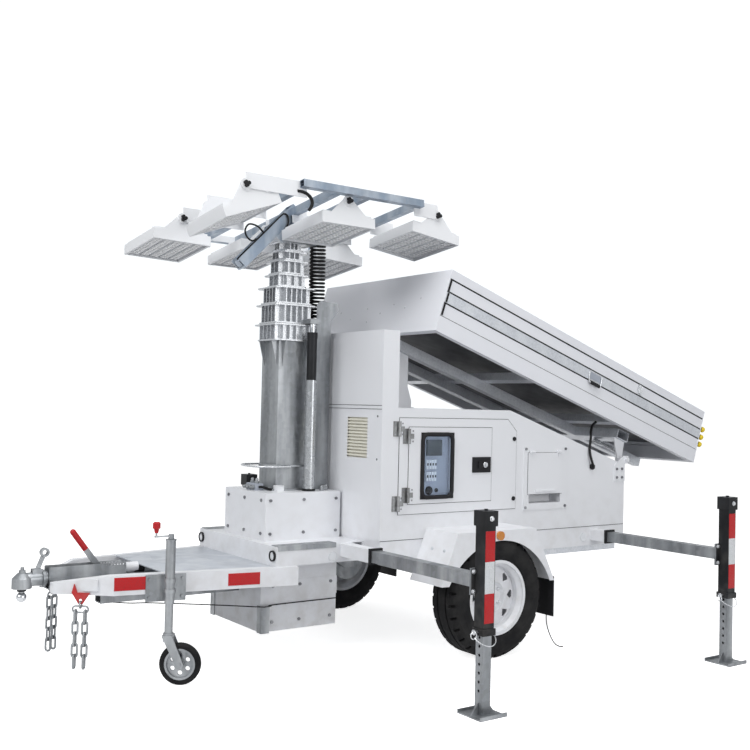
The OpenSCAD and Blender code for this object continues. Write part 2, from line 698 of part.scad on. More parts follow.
guard = [[-120, -103], [-20, -60]];
guard_top = 1870;
shelf_z = coil_z0 - coil_tail;
module cable_guard() color(zinc) {
    span([guard[0][0], guard[0][1], base_top], [guard[1][0], guard[0][1] + 3, guard_top]);
    span([guard[0][0], guard[0][1], base_top], [guard[0][0] + 3, guard[1][1], shelf_z]);
    span([guard[1][0] - 3, guard[0][1], base_top], [guard[1][0], guard[1][1], shelf_z]);
    side([[guard[0][0], guard_top - 1], [guard[1][0], guard_top - 1], [guard[1][0] + 55, guard_top + 65],
        [guard[1][0] + 40, guard_top + 105], [guard[0][0] + 25, guard_top + 115],
        [guard[0][0], guard_top + 90]], guard[0][1], guard[0][1] + 3);
    // Shelf with the gland that the coil cable comes out of
    span([guard[0][0], guard[0][1], shelf_z - 6], [guard[1][0], 30, shelf_z]);
    rod_z(coil_x + coil_r, 0, 16, shelf_z - 26, shelf_z - 6);
}

// Coil cable: one helical tube with straight ends
coil_rings = 8;
coil_sides = 6;
coil_n = coil_turns * coil_rings;
function coil_point(k) = let (j = min(max(k, 0), coil_n), a = 360 * j / coil_rings)
    [coil_x + coil_r * cos(a), coil_r * sin(a),
     k < 0 ? coil_z0 + k * coil_tail / 2
     : k > coil_n ? coil_z1 + (k - coil_n) * coil_tail / 2
     : coil_z0 + (coil_z1 - coil_z0) * k / coil_n];
function unit(v) = v / norm(v);
function coil_along(k) = k == -2 || k == coil_n + 2 ? [0, 0, 1] : unit(coil_point(k + 1) - coil_point(k - 1));
function coil_ring(k) = let (p = coil_point(k), out = unit([p[0] - coil_x, p[1], 0]), t = coil_along(k), b = cross(t, out))
    [for (s = [0 : coil_sides - 1]) let (a = 360 * s / coil_sides) p + coil_wire * (cos(a) * out + sin(a) * b)];
function ring_faces(rings, sides) = concat(
    [[for (s = [0 : sides - 1]) s]],
    [for (r = [0 : rings - 2], s = [0 : sides - 1]) let (a = r * sides + s, b = r * sides + (s + 1) % sides)
        each [[a, a + sides, b], [b, a + sides, b + sides]]],
    [[for (s = [sides - 1 : -1 : 0]) (rings - 1) * sides + s]]);
module coil_cable() {
    ks = [for (k = [-2 : coil_n + 2]) k];
    gaps = [for (k = [0 : coil_n - coil_rings]) norm(coil_point(k + coil_rings) - coil_point(k)) - 2 * coil_wire];
    echo(least_coil_gap = min(gaps));
    color(black) polyhedron([for (k = ks) each coil_ring(k)], ring_faces(len(ks), coil_sides), convexity = 10);
}

// Lamp head, laid out about the mast's axis and then tilted
row_y = 345;
leg_gap = slide_gap;
yoke_t = 6;
tube_w = 40;
frame_y = row_y + lamp_w / 2 + leg_gap + yoke_t + tube_w / 2;
frame_x = [-265, 525];
bar_x = [-35, 155];
pivot_z = -45;
pin_r = 8;
near_x = [-580, 40, 655];
far_x = [-600, -75, 445];
column_r = 45;
column_seat = mast_head + 6 + seat_gap;
arm_from = [-10, 30];
arm_to = [-372, -325];

module head() translate([mast_x, 0, head_z]) rotate([-head_roll, 0, 0]) children();

module yoke_leg(xp, xa, y) difference() {
    union() {
        span([min(xp, xa - 20), y, pivot_z - 20], [max(xp, xa + 20), y + yoke_t, tube_w / 2 - 2]);
        rod_y(xp, pivot_z, 30, y, y + yoke_t);
    }
    rod_y(xp, pivot_z, pin_r + run_gap, y - 1, y + yoke_t + 1);
}

module yokes(xs, anchors_in, anchors_out, s) for (i = [0 : 2]) {
    inner = s * (row_y - lamp_w / 2 - leg_gap);
    outer = s * (row_y + lamp_w / 2 + leg_gap);
    yoke_leg(xs[i], anchors_in[i], s > 0 ? inner - yoke_t : inner);
    yoke_leg(xs[i], anchors_out[i], s > 0 ? outer : outer - yoke_t);
}

module lamp_frame() {
    color(zinc) head() {
        for (s = [-1, 1])
            tube_x(s * frame_y, 0, tube_w, tube_w, 3, frame_x[0], frame_x[1]);
        for (x = [frame_x[0] + tube_w / 2, bar_x[0], bar_x[1], frame_x[1] - tube_w / 2])
            tube_y(x, 0, tube_w, tube_w, 3, -frame_y + tube_w / 2 - 1, frame_y - tube_w / 2 + 1);
        span([-60, -60, -tube_w / 2 - 10], [180, 60, -tube_w / 2 + 1]);
        // Drive arm that runs down ahead of the mast
        along = unit(arm_to - arm_from);
        off = [-along[1], along[0]] * 32;
        inner = [-along[1], along[0]] * 26;
        difference() {
            side([arm_from + off, arm_from - off, arm_to - off, arm_to + off], -112, -28);
            side([arm_from + inner, arm_from - off * 2, arm_to - off * 2, arm_to + inner] , -106, -34);
        }
        translate([arm_to[0], -70, arm_to[1]]) rotate([0, atan2(-along[0], -along[1]), 0])
            cylinder(h = 260, r = 25);
    }
    color(zinc) intersection() {
        rod_z(mast_x, 0, column_r, column_seat, head_z);
        head() span([-100, -100, -300], [200, 100, -tube_w / 2 - 4]);
    }
    color(white) head() {
        yokes(near_x, [frame_x[0] + 20, bar_x[0], frame_x[1] - 20], [frame_x[0] + 20, near_x[1], frame_x[1] - 20], -1);
        yokes(far_x, [frame_x[0] + 20, bar_x[0], frame_x[1] - 20], [frame_x[0] + 20, far_x[1], far_x[2]], 1);
    }
}

// One floodlight, hung from its pivot
ear_t = 4;
knob_r = 15;
module lamp(x, s, tilt) head() translate([x, s * row_y, pivot_z]) rotate([0, tilt, 0]) {
    half = lamp_w / 2;
    color(white) {
        difference() {
            union() {
                span([-lamp_l / 2, -half, -lamp_drop - lamp_t], [lamp_l / 2, half, -lamp_drop - 14]);
                span([-lamp_l / 2 + 14, -half + 14, -lamp_drop - 15], [lamp_l / 2 - 14, half - 14, -lamp_drop]);
            }
            span([-lamp_l / 2 + 14, -half + 14, -lamp_drop - lamp_t - 1], [lamp_l / 2 - 14, half - 14, -lamp_drop - lamp_t + 14]);
        }
        for (e = [-1, 1]) {
            y = e > 0 ? half - ear_t : -half;
            side([[-lamp_l / 2 + 50, -lamp_drop - 15], [lamp_l / 2 - 50, -lamp_drop - 15],
                [29, 10], [-29, 10]], y, y + ear_t);
            rod_y(0, 0, 31, y, y + ear_t);
        }
    }
    color(black) for (e = [-1, 1]) {
        rod_y(0, 0, pin_r, e > 0 ? half - 1 : -half - yoke_t - 18, e > 0 ? half + yoke_t + 18 : -half + 1);
        for (k = [0 : 120 : 240])
            rod_y(9 * cos(k), 9 * sin(k), knob_r - 5, e > 0 ? half + yoke_t + 1.5 : -half - yoke_t - 16,
                e > 0 ? half + yoke_t + 16 : -half - yoke_t - 1.5);
    }
    // Emitter rows behind the glass
    color(zinc) for (i = [0 : 4])
        span([-lamp_l / 2 + 24 + i * 60, -half + 24, -lamp_drop - lamp_t + 8],
            [-lamp_l / 2 + 70 + i * 60, half - 24, -lamp_drop - lamp_t + 14]);
}

module near_front_lamp() lamp(near_x[0], -1, -20);
module near_middle_lamp() lamp(near_x[1], -1, 0);
module near_rear_lamp() lamp(near_x[2], -1, 8);
module far_front_lamp() lamp(far_x[0], 1, 2);
module far_middle_lamp() lamp(far_x[1], 1, 0);
module far_rear_lamp() lamp(far_x[2], 1, 4);

// Cabinet
slot_z = 815;
outlet = [[1065, 775], [1437, 1160]];
flap = [[1100, 870], [1390, 1120]];
vent = [[-475, 1085], [-260, 1327]];
vent_n = 13;
hinge_zs = [door_z + 60, door_z + door_h - 60];
inner_x = door_x + inner_in;
inner_z = door_z + inner_up;
inner_zs = [inner_z + 50, inner_z + inner_h - 50];
hinge_r = 9;
hinge_pin = 5;
hinge_h = 28;
door_out = 3;
inner_out = 5;
door_axis = [door_x - 8, -cab_y - door_out - 11];
inner_axis = [inner_x - 8, -cab_y - inner_out - 11];

// Outline of the outer door, grown by a gap
module door_plan(y0, y1, gap) side([[door_x - gap, door_z - gap], [door_x + door_w + gap, door_z - gap],
    [door_x + door_w + gap, door_z + door_h - door_cut + gap / 2],
    [door_x + door_w - door_cut + gap / 2, door_z + door_h + gap], [door_x - gap, door_z + door_h + gap]], y0, y1);

// The fixed half of a hinge: a leaf, two knuckles and the pin
module hinge_fixed(axis, wall_y, z) {
    for (s = [-1, 1]) {
        low = s < 0 ? z - hinge_h * 1.5 : z + hinge_h / 2;
        rod_z(axis[0], axis[1], hinge_r, low + 0.3, low + hinge_h - 0.3);
        span([axis[0] - hinge_r, axis[1], low + 0.3], [axis[0], wall_y, low + hinge_h - 0.3]);
    }
    span([axis[0] - 34, wall_y - 4, z - hinge_h * 1.5], [axis[0] - 3, wall_y, z + hinge_h * 1.5]);
    rod_z(axis[0], axis[1], hinge_pin, z - hinge_h * 1.5 + 1, z + hinge_h * 1.5 - 1);
}

// The moving half: a middle knuckle and a leaf on the panel's face
module hinge_moving(axis, face_y, z) difference() {
    union() {
        rod_z(axis[0], axis[1], hinge_r, z - hinge_h / 2 + 0.3, z + hinge_h / 2 - 0.3);
        span([axis[0], face_y - 4, z - hinge_h / 2 + 0.3], [axis[0] + 40, face_y, z + hinge_h / 2 - 0.3]);
        span([axis[0], axis[1] - 2, z - hinge_h / 2 + 0.3], [axis[0] + hinge_r + 4, face_y, z + hinge_h / 2 - 0.3]);
    }
    rod_z(axis[0], axis[1], hinge_pin + run_gap, z - hinge_h, z + hinge_h);
}

module cabinet_shell() color(white) {
    difference() {
        side([[0, cab_floor], [cab_l, cab_floor], [cab_l, rear_top], [roof_flat, cab_roof], [tower_d, cab_roof],
            [tower_d, tower_top], [0, tower_top]], -cab_y, cab_y);
        side([[sheet, cab_floor + sheet], [cab_l - sheet, cab_floor + sheet], [cab_l - sheet, rear_top - sheet * 0.7],
            [roof_flat - 0.5, cab_roof - sheet], [tower_d - sheet, cab_roof - sheet],
            [tower_d - sheet, tower_top - sheet], [sheet, tower_top - sheet]], -cab_y + sheet, cab_y - sheet);
        door_plan(-cab_y - 1, -cab_y + sheet + 1, door_gap);
        span([flap[0][0] + 10, -cab_y - 1, slot_z], [flap[1][0] - 10, -cab_y + sheet + 1, flap[1][1] - 10]);
        for (i = [0 : vent_n - 1])
            span([-1, vent[0][0] + 10, vent[0][1] + 8 + i * 18], [sheet + 1, vent[1][0] - 10, vent[0][1] + 17 + i * 18]);
    }
    // Front louvre blades and their frame
    for (i = [0 : vent_n - 1])
        translate([0, vent[0][0] + 8, vent[0][1] + 17 + i * 18]) rotate([0, 40, 0])
            cube([2, vent[1][0] - vent[0][0] - 16, 12]);
    // Closed tray behind the outlet flap, with the bolted plate round it
    difference() {
        span([flap[0][0] + 7, -cab_y + sheet - 1, slot_z - 3], [flap[1][0] - 7, -cab_y + 90, flap[1][1] - 7]);
        span([flap[0][0] + 10, -cab_y - 1, slot_z], [flap[1][0] - 10, -cab_y + 87, flap[1][1] - 10]);
    }
    difference() {
        span([outlet[0][0], -cab_y - 4, outlet[0][1]], [outlet[1][0], -cab_y, outlet[1][1]]);
        span([flap[0][0] + 10, -cab_y - 5, slot_z], [flap[1][0] - 10, -cab_y + 1, flap[1][1] - 10]);
    }
    color(black) for (x = [flap[0][0] + 70, flap[1][0] - 70])
        rod_y(x, (flap[0][1] + flap[1][1]) / 2, 42, -cab_y + 60, -cab_y + 87);
    color(zinc) for (z = hinge_zs)
        hinge_fixed(door_axis, -cab_y, z);
    // Hinge of the outlet flap
    for (x = [flap[0][0] + 30, flap[1][0] - 30]) {
        rod_x(flap_axis[0], flap_axis[1], 7, x - 20, x - 6);
        rod_x(flap_axis[0], flap_axis[1], 7, x + 6, x + 20);
        rod_x(flap_axis[0], flap_axis[1], 4, x - 20, x + 20);
        for (k = [-20, 6])
            span([x + k, flap_axis[0], flap_axis[1]], [x + k + 14, -cab_y - 3, flap_axis[1] + 7]);
    }
}

module outer_door() color(white) {
    y0 = -cab_y - door_out;
    y1 = y0 + door_t;
    difference() {
        door_plan(y0, y1, 0);
        span([inner_x - door_gap, y0 - 1, inner_z - door_gap], [inner_x + inner_w + door_gap, y1 + 1, inner_z + inner_h + door_gap]);
    }
    color(zinc) {
        for (z = hinge_zs)
            hinge_moving(door_axis, y0, z);
        for (z = inner_zs)
            hinge_fixed(inner_axis, y0, z);
        // Cam locks at the free edge
        for (z = [door_z + 60, door_z + door_h - 115])
            rod_y(door_x + door_w - 18, z, 13, y0 - 5, y0);
    }
}

window = [[286, 885], [490, 1225]];
module inner_door() {
    y0 = -cab_y - inner_out;
    y1 = y0 + door_t;
    color(white) difference() {
        span([inner_x, y0, inner_z], [inner_x + inner_w, y1, inner_z + inner_h]);
        span([window[0][0], y0 - 1, window[0][1]], [window[1][0], y1 + 1, window[1][1]]);
    }
    color(zinc) for (z = inner_zs)
        hinge_moving(inner_axis, y0, z);
    // Rubber frame, glass and the controller behind it
    color(black) difference() {
        span([window[0][0] - 16, y0 - 7, window[0][1] - 16], [window[1][0] + 16, y0, window[1][1] + 16]);
        span([window[0][0], y0 - 8, window[0][1]], [window[1][0], y0 + 1, window[1][1]]);
    }
    color([0.6, 0.7, 0.75]) span([window[0][0], y0 + 1, window[0][1]], [window[1][0], y0 + 4, window[1][1]]);
    color(black) span([window[0][0] - 10, y1, window[0][1] - 10], [window[1][0] + 10, y1 + 60, window[1][1] + 10]);
    color(black) {
        span([650, y0 - 6, 1010], [790, y0, 1100]);
        span([690, y0 - 14, 1035], [765, y0 - 6, 1075]);
    }
}

flap_axis = [-cab_y - 13, flap[1][1] + 6];
module outlet_flap() color(white) difference() {
    union() {
        span([flap[0][0], -cab_y - 8, flap[0][1]], [flap[1][0], -cab_y - 4.3, flap[1][1]]);
        span([flap[0][0] + 60, -cab_y - 16, flap[0][1] + 14], [flap[1][0] - 60, -cab_y - 8, flap[0][1] + 24]);
        for (x = [flap[0][0] + 30, flap[1][0] - 30]) {
            rod_x(flap_axis[0], flap_axis[1], 7, x - 5.7, x + 5.7);
            span([x - 5.7, flap_axis[0], flap[1][1] - 20], [x + 5.7, -cab_y - 8, flap_axis[1]]);
        }
    }
    for (x = [flap[0][0] + 30, flap[1][0] - 30])
        rod_x(flap_axis[0], flap_axis[1], 4 + run_gap, x - 8, x + 8);
}

// Solar array, laid out along its slope from the front lower corner
beam = 60;
beam_y = 168;
lug_y = 540;
foot_x = [400, 530];
beam_s = [10, arr_l - 10];
module array() translate([arr_x, 0, arr_z]) rotate([0, arr_tilt, 0]) children();
function under_array(x) = arr_z - (x - arr_x) * slope - beam / cos(arr_tilt);
function roof_at(x) = cab_roof - max(0, x - roof_flat) * slope;
pivot = [cab_l + 10, 1070];
pivot_s = (pivot[0] - arr_x) / cos(arr_tilt) + beam * tan(arr_tilt);
plate_t = 4;
layer_gap = 4;
lower_t = base_t + layer_gap;
mid_t0 = lower_t + panel_t + layer_gap;
upper_t = mid_t0 + mid_t + layer_gap;
cover_t = upper_t + panel_t + layer_gap;

module array_supports() {
    color(zinc) array() {
        both_sides() tube_x(-beam_y, -beam / 2, beam, beam, 4, beam_s[0], beam_s[1]);
        tube_y(pivot_s, -beam / 2, 110, beam, 4, -lug_y - 30, lug_y + 30);
    }
    color(white) both_sides() {
        // Front brackets on the roof, each a web with a front flange and a foot
        side([[foot_x[0], roof_at(foot_x[0])], [foot_x[1], roof_at(foot_x[1])],
            [foot_x[1], roof_at(foot_x[1]) + 45], [foot_x[1] - 30, roof_at(foot_x[1]) + 130],
            [foot_x[1] - 30, under_array(foot_x[1] - 30)], [foot_x[0], under_array(foot_x[0])]],
            -beam_y - 3, -beam_y + 3);
        side([[foot_x[0], roof_at(foot_x[0])], [foot_x[0] + 5, roof_at(foot_x[0] + 5)],
            [foot_x[0] + 5, under_array(foot_x[0] + 5)], [foot_x[0], under_array(foot_x[0])]],
            -beam_y - 30, -beam_y + 30);
        side([[foot_x[0], roof_at(foot_x[0])], [foot_x[1], roof_at(foot_x[1])],
            [foot_x[1], roof_at(foot_x[1]) + 5], [foot_x[0], roof_at(foot_x[0]) + 5]],
            -beam_y - 30, -beam_y + 30);
        // Rear gussets and their lugs
        side([[cab_l - 100, 930], [cab_l, 930], [cab_l, 1040], [pivot[0] + 24, pivot[1] - 20],
            [pivot[0] + 24, pivot[1] + 24], [pivot[0] - 24, pivot[1] + 24], [cab_l - 100, rear_top]], -cab_y - 6, -cab_y);
        side([[pivot[0] - 50, under_array(pivot[0] - 50)], [pivot[0] + 50, under_array(pivot[0] + 50)],
            [pivot[0] + 22, pivot[1] - 22], [pivot[0] - 8, pivot[1] - 22]], -lug_y - 6, -lug_y + 6);
        rod_y(pivot[0], pivot[1], 14, -cab_y - 24, -lug_y + 16);
    }
}

cross_n = 2;
module array_housing() color(white) array() {
    bay = (arr_l - 80) / (cross_n + 1);
    difference() {
        span([0, -arr_y, 0], [arr_l, arr_y, base_t]);
        span([40, -arr_y + 40, -1], [arr_l - 40, arr_y - 40, base_t + 1]);
    }
    for (i = [1 : cross_n])
        tube_y(40 + i * bay, 25, 60, 50, 3, -arr_y + 39, arr_y - 39);
    for (s = [0, arr_l - plate_t])
        span([s, -arr_y, 0], [s + plate_t, arr_y, arr_t]);
    // Rails between the two panels, and the cover that carries the top panel
    both_sides() span([0, -arr_y, mid_t0], [arr_l, -arr_y + 40, mid_t0 + mid_t]);
    difference() {
        span([0, -arr_y, cover_t], [arr_l, arr_y, arr_t]);
        span([plate_t + 20, -arr_y + 24, cover_t - 1], [arr_l - plate_t - 20, arr_y - 24, arr_t - 14]);
        span([plate_t + 20, -arr_y + 24, arr_t - 4], [arr_l - plate_t - 20, arr_y - 24, arr_t + 1]);
    }
}

// A slide-out panel: a frame round a solar plate
module slide_panel(t) color(white) array() {
    lo = [plate_t + seat_gap, -arr_y + 2, t];
    hi = [arr_l - plate_t - seat_gap, arr_y - 2, t + panel_t];
    difference() {
        span(lo, hi);
        span(lo + [36, 36, 36], hi - [36, 36, -1]);
        span(lo + [36, 36, -1], hi - [36, 36, panel_t - 20]);
    }
}
module upper_panel() slide_panel(upper_t);
module lower_panel() slide_panel(lower_t);

// Running gear
axle_x = wheel_x - 170;
axle_z = 450;
module axle() color(zinc) both_sides() {
    tube_y(axle_x, axle_z, 80, 80, 6, -wheel_y + 155, 0);
    span([axle_x - 60, -cab_y, axle_z + 39], [axle_x + 60, -cab_y + 60, chassis_z]);
    side([[axle_x - 45, axle_z + 40], [axle_x + 40, axle_z + 40], [wheel_x + 40, tyre_r + 30],
        [wheel_x + 40, tyre_r - 40], [wheel_x - 40, tyre_r - 40], [axle_x - 45, axle_z - 45]],
        -wheel_y + 130, -wheel_y + 156);
    rod_y(wheel_x, tyre_r, stub_r, -wheel_y - 40, -wheel_y + 140);
    rod_y(wheel_x, tyre_r, 125, -wheel_y + 96, -wheel_y + 131);
}

tread = 8;
lugs = 30;
module tyre() difference() {
    h = tyre_w / 2;
    rotate_extrude($fn = 96) polygon([[rim_r, -h + 22], [rim_r + 18, -h + 8], [rim_r + 62, -h], [tyre_r - 34, -h + 2],
        [tyre_r - 10, -h + 14], [tyre_r, -h + 30], [tyre_r, -40], [tyre_r - tread, -38], [tyre_r - tread, -30],
        [tyre_r, -28], [tyre_r, 28], [tyre_r - tread, 30], [tyre_r - tread, 38], [tyre_r, 40], [tyre_r, h - 30],
        [tyre_r - 10, h - 14], [tyre_r - 34, h - 2], [rim_r + 62, h], [rim_r + 18, h - 8], [rim_r, h - 22]]);
    for (i = [0 : lugs - 1], s = [-1, 1])
        rotate([0, 0, (i + s / 4) * 360 / lugs]) translate([tyre_r - 22, -8, s > 0 ? h - 40 : -h - 1])
            rotate([0, 0, 6 * s]) cube([30, 16, 41]);
}

windows = 8;
module rim() difference() {
    r = rim_r - seat_gap / 2;
    union() {
        rotate_extrude($fn = 96) polygon([[r, -81.5], [r + 6, -87], [r + 10, -92], [r - 8, -92], [r - 8, -82],
            [r - 26, -60], [r - 26, 60], [r - 8, 82], [r - 8, 92], [r + 10, 92], [r + 6, 87], [r, 81.5], [r, 66],
            [r - 18, 52], [r - 18, -52], [r, -66]]);
        // Dished disc with the hub and its cap
        rotate_extrude($fn = 96) polygon([[stub_r + 8, 26], [70, 26], [84, 44], [140, 30], [r - 20, 20], [r - 20, 27],
            [140, 37], [84, 51], [66, 34], [stub_r + 8, 34]]);
        translate([0, 0, -60]) cylinder(h = 100, r = 48);
        translate([0, 0, 40]) cylinder(h = 26, r1 = 36, r2 = 32);
    }
    translate([0, 0, -61]) cylinder(h = 102, r = stub_r + run_gap);
    for (i = [0 : windows - 1]) rotate([0, 0, i * 360 / windows]) translate([0, 0, 10])
        linear_extrude(60) polygon([[108, 0], [142, -26], [156, -16], [156, 16], [142, 26]]);
    for (i = [0 : 4]) rotate([0, 0, 36 + i * 72]) translate([60, 0, 20]) cylinder(h = 40, r = 7);
}

module near_wheel_place() translate([wheel_x, -wheel_y, tyre_r]) rotate([90, 0, 0]) children();
module far_wheel_place() translate([wheel_x, wheel_y, tyre_r]) rotate([-90, 0, 0]) children();
module near_tyre() color(black) near_wheel_place() tyre();
module far_tyre() color(black) far_wheel_place() tyre();
module near_rim() color(white) near_wheel_place() rim();
module far_rim() color(white) far_wheel_place() rim();

arch_r = tyre_r + 86;
arch_z = tyre_r - 102;
fender_pts = [[215, 430], [325, 708], [905, 708], [1060, 400]];
module fender() {
    shrink = [for (p = fender_pts) [wheel_x, tyre_r] + 0.988 * (p - [wheel_x, tyre_r])];
    color(white) {
        side(concat(fender_pts, [shrink[3], shrink[2], shrink[1], shrink[0]]), -fender_out, -cab_y);
        difference() {
            side(fender_pts, -fender_out, -fender_out + 4);
            rod_y(wheel_x, arch_z, arch_r, -fender_out - 1, -fender_out + 5);
        }
    }
    color(amber) rod_y(wheel_x - 14, tyre_r + 347, 25, -fender_out - lamp_lens_h, -fender_out);
    // Mud flap bolted behind the arch
    color(black) span([1058, -fender_out + 6, 190], [1066, -cab_y - 40, 420]);
}
module near_fender() fender();
module far_fender() mirror([0, 1, 0]) fender();

// Outriggers: an arm with its jack, and the leg that slides in the jack
jack_z = [360, 920];
jack_wall = (jack_w - leg_w) / 2 - slide_gap;
module outrigger(x) {
    color(zinc) {
        tube_y(x, arm_z, arm_w, arm_w, 4, -arm_out, -arm_in);
        span([x - 55, -arm_out - 10, arm_z - 60], [x + 55, -arm_out, arm_z + 60]);
    }
    color(black) {
        tube_z(x, -jack_y, jack_w, jack_wall, jack_z[0], jack_z[1] - 20);
        tube_z(x, -jack_y, jack_w + 12, 6.5, jack_z[0], jack_z[0] + 30);
        difference() {
            span([x - jack_w / 2 - 7, -jack_y - jack_w / 2 - 7, jack_z[1] - 70],
                [x + jack_w / 2 + 7, -jack_y + jack_w / 2 + 7, jack_z[1]]);
            span([x - jack_w / 2, -jack_y - jack_w / 2, jack_z[1] - 71],
                [x + jack_w / 2, -jack_y + jack_w / 2, jack_z[1] - 20]);
        }
        bolt_z(x, -jack_y, jack_z[1]);
    }
}

leg_top = jack_z[1] - 30 - leg_up;
foot_t = 6;
module leg(x) color(zinc) {
    difference() {
        tube_z(x, -jack_y, leg_w, 4, foot_t, leg_top);
        for (i = [0 : 6])
            rod_x(-jack_y, 110 + i * 40, 7, x - leg_w, x + leg_w);
    }
    span([x - foot_s / 2, -jack_y - foot_s / 2, 0], [x + foot_s / 2, -jack_y + foot_s / 2, foot_t]);
    // Bent edges and gussets of the foot
    for (s = [-1, 1]) {
        span([x - foot_s / 2, -jack_y + s * (foot_s / 2 - 3) - 3, 0], [x + foot_s / 2, -jack_y + s * (foot_s / 2 - 3) + 3, 18]);
        translate([x + s * leg_w / 2, -jack_y - 3, foot_t]) rotate([90, 0, 0]) mirror([s < 0 ? 1 : 0, 0, 0])
            translate([0, 0, -6]) linear_extrude(6) polygon([[-1, 0], [45, 0], [-1, 55]]);
    }
}

module folded() mirror([0, 1, 0]) translate([0, arm_travel, 0]) children();
module near_front_outrigger() outrigger(front_arm_x);
module near_front_leg() leg(front_arm_x);
module near_rear_outrigger() outrigger(rear_arm_x);
module near_rear_leg() leg(rear_arm_x);
module far_front_outrigger() folded() outrigger(front_arm_x + sock_pitch);
module far_front_leg() folded() translate([0, 0, leg_up]) leg(front_arm_x + sock_pitch);
module far_rear_outrigger() folded() outrigger(rear_arm_x + sock_pitch);
module far_rear_leg() folded() translate([0, 0, leg_up]) leg(rear_arm_x + sock_pitch);

// Hexagon bolts on the fixed boxes and plates
module fasteners() color(zinc) {
    for (x = [-470, -258, -45], z = [plat_top + 40, base_top - 40]) both_sides()
        bolt_y(x, z, base_box[0][1]);
    for (y = [-190, 0, 190], z = [plat_top + 40, base_top - 40])
        bolt_x(y, z, base_box[0][0]);
    for (x = [-470, -300, -100], z = [210, 400]) both_sides()
        bolt_y(x, z, z > box_seam ? -283 : -280);
    for (x = [outlet[0][0] + 16, outlet[1][0] - 16], z = [outlet[0][1] + 16, outlet[1][1] - 16])
        bolt_y(x, z, -cab_y - 4);
    for (x = [cab_l - 80, cab_l - 30], z = [955, 1010]) both_sides()
        bolt_y(x, z, -cab_y - 6);
    for (x = [-110, 110], y = [-60, 60])
        bolt_z(mast_x + x, y, base_top + 10);
}

// Earth lead: a thin cord from the near mud flap to the ground
lead_r = 3;
lead_sides = 8;
lead_route = [[1062, -815, 190], [1062, -815, 170], [1063, -816, 150], [1066, -818, 130], [1070, -821, 110],
    [1076, -825, 90], [1083, -829, 70], [1092, -834, 50], [1102, -839, 32], [1114, -845, 18], [1128, -851, 9],
    [1142, -857, 5], [1156, -863, 4]];
function lead_along(i) = unit(lead_route[min(i + 1, len(lead_route) - 1)] - lead_route[max(i - 1, 0)]);
function lead_ring(i) = let (t = lead_along(i), u = unit(cross(t, [0.4, 0.9, 0.1])), v = cross(t, u))
    [for (s = [0 : lead_sides - 1]) let (a = -360 * s / lead_sides) lead_route[i] + lead_r * (cos(a) * u + sin(a) * v)];
module earth_lead() {
    color(black) polyhedron([for (i = [0 : len(lead_route) - 1]) each lead_ring(i)],
        ring_faces(len(lead_route), lead_sides));
}

module placed() translate(-origin) children();

placed() near_drawbar_rail();
placed() far_drawbar_rail();
placed() tongue_beam();
placed() coupling_head();
placed() coupling_lever();
placed() handbrake_lever();
placed() near_chain();
placed() far_chain();
placed() jockey_tube();
placed() jockey_leg();
placed() jockey_fork();
placed() jockey_wheel();
placed() jockey_crank();
placed() chassis_frame();
placed() mast_platform();
placed() pump_box();
placed() batteries();
placed() mast_base_box();
placed() mast_tube();
placed() mast_section_1();
placed() mast_section_2();
placed() mast_section_3();
placed() mast_section_4();
placed() mast_section_5();
placed() mast_section_6();
placed() lift_cylinder();
placed() cable_guard();
placed() coil_cable();
placed() lamp_frame();
placed() near_front_lamp();
placed() near_middle_lamp();
placed() near_rear_lamp();
placed() far_front_lamp();
placed() far_middle_lamp();
placed() far_rear_lamp();
placed() cabinet_shell();
placed() outer_door();
placed() inner_door();
placed() outlet_flap();
placed() array_supports();
placed() array_housing();
placed() upper_panel();
placed() lower_panel();
placed() axle();
placed() near_tyre();
placed() near_rim();
placed() far_tyre();
placed() far_rim();
placed() near_fender();
placed() far_fender();
placed() near_front_outrigger();
placed() near_front_leg();
placed() near_rear_outrigger();
placed() near_rear_leg();
placed() far_front_outrigger();
placed() far_front_leg();
placed() far_rear_outrigger();
placed() far_rear_leg();
placed() fasteners();
placed() earth_lead();
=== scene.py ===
import bpy
import math
import numpy as np
from mathutils import Matrix, Vector


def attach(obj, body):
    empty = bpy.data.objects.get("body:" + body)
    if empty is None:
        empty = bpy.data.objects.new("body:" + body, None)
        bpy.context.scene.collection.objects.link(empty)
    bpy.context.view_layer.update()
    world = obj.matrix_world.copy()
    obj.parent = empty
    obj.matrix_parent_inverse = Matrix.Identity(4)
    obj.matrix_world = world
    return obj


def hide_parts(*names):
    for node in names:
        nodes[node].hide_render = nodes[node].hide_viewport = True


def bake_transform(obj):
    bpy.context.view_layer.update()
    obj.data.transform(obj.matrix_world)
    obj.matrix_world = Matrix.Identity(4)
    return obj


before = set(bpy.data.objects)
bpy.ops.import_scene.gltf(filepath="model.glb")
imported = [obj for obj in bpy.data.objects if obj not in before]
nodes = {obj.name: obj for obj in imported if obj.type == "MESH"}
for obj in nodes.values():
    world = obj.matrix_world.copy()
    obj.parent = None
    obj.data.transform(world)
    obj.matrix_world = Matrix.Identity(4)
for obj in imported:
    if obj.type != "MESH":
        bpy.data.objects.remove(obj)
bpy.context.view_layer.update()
print("frame loaded:", len(nodes), "nodes")

sides = ((-1, "near"), (1, "far"))
upward, nearward, forward = (0, 0, 1), (0, -1, 0), (-1, 0, 0)


def moved(x, y, z):
    return Matrix.Translation((x, y, z))


def turned(degrees, axis):
    return Matrix.Rotation(math.radians(degrees), 4, axis)


def placed(spot, degrees, axis):
    return moved(*spot) @ turned(degrees, axis)


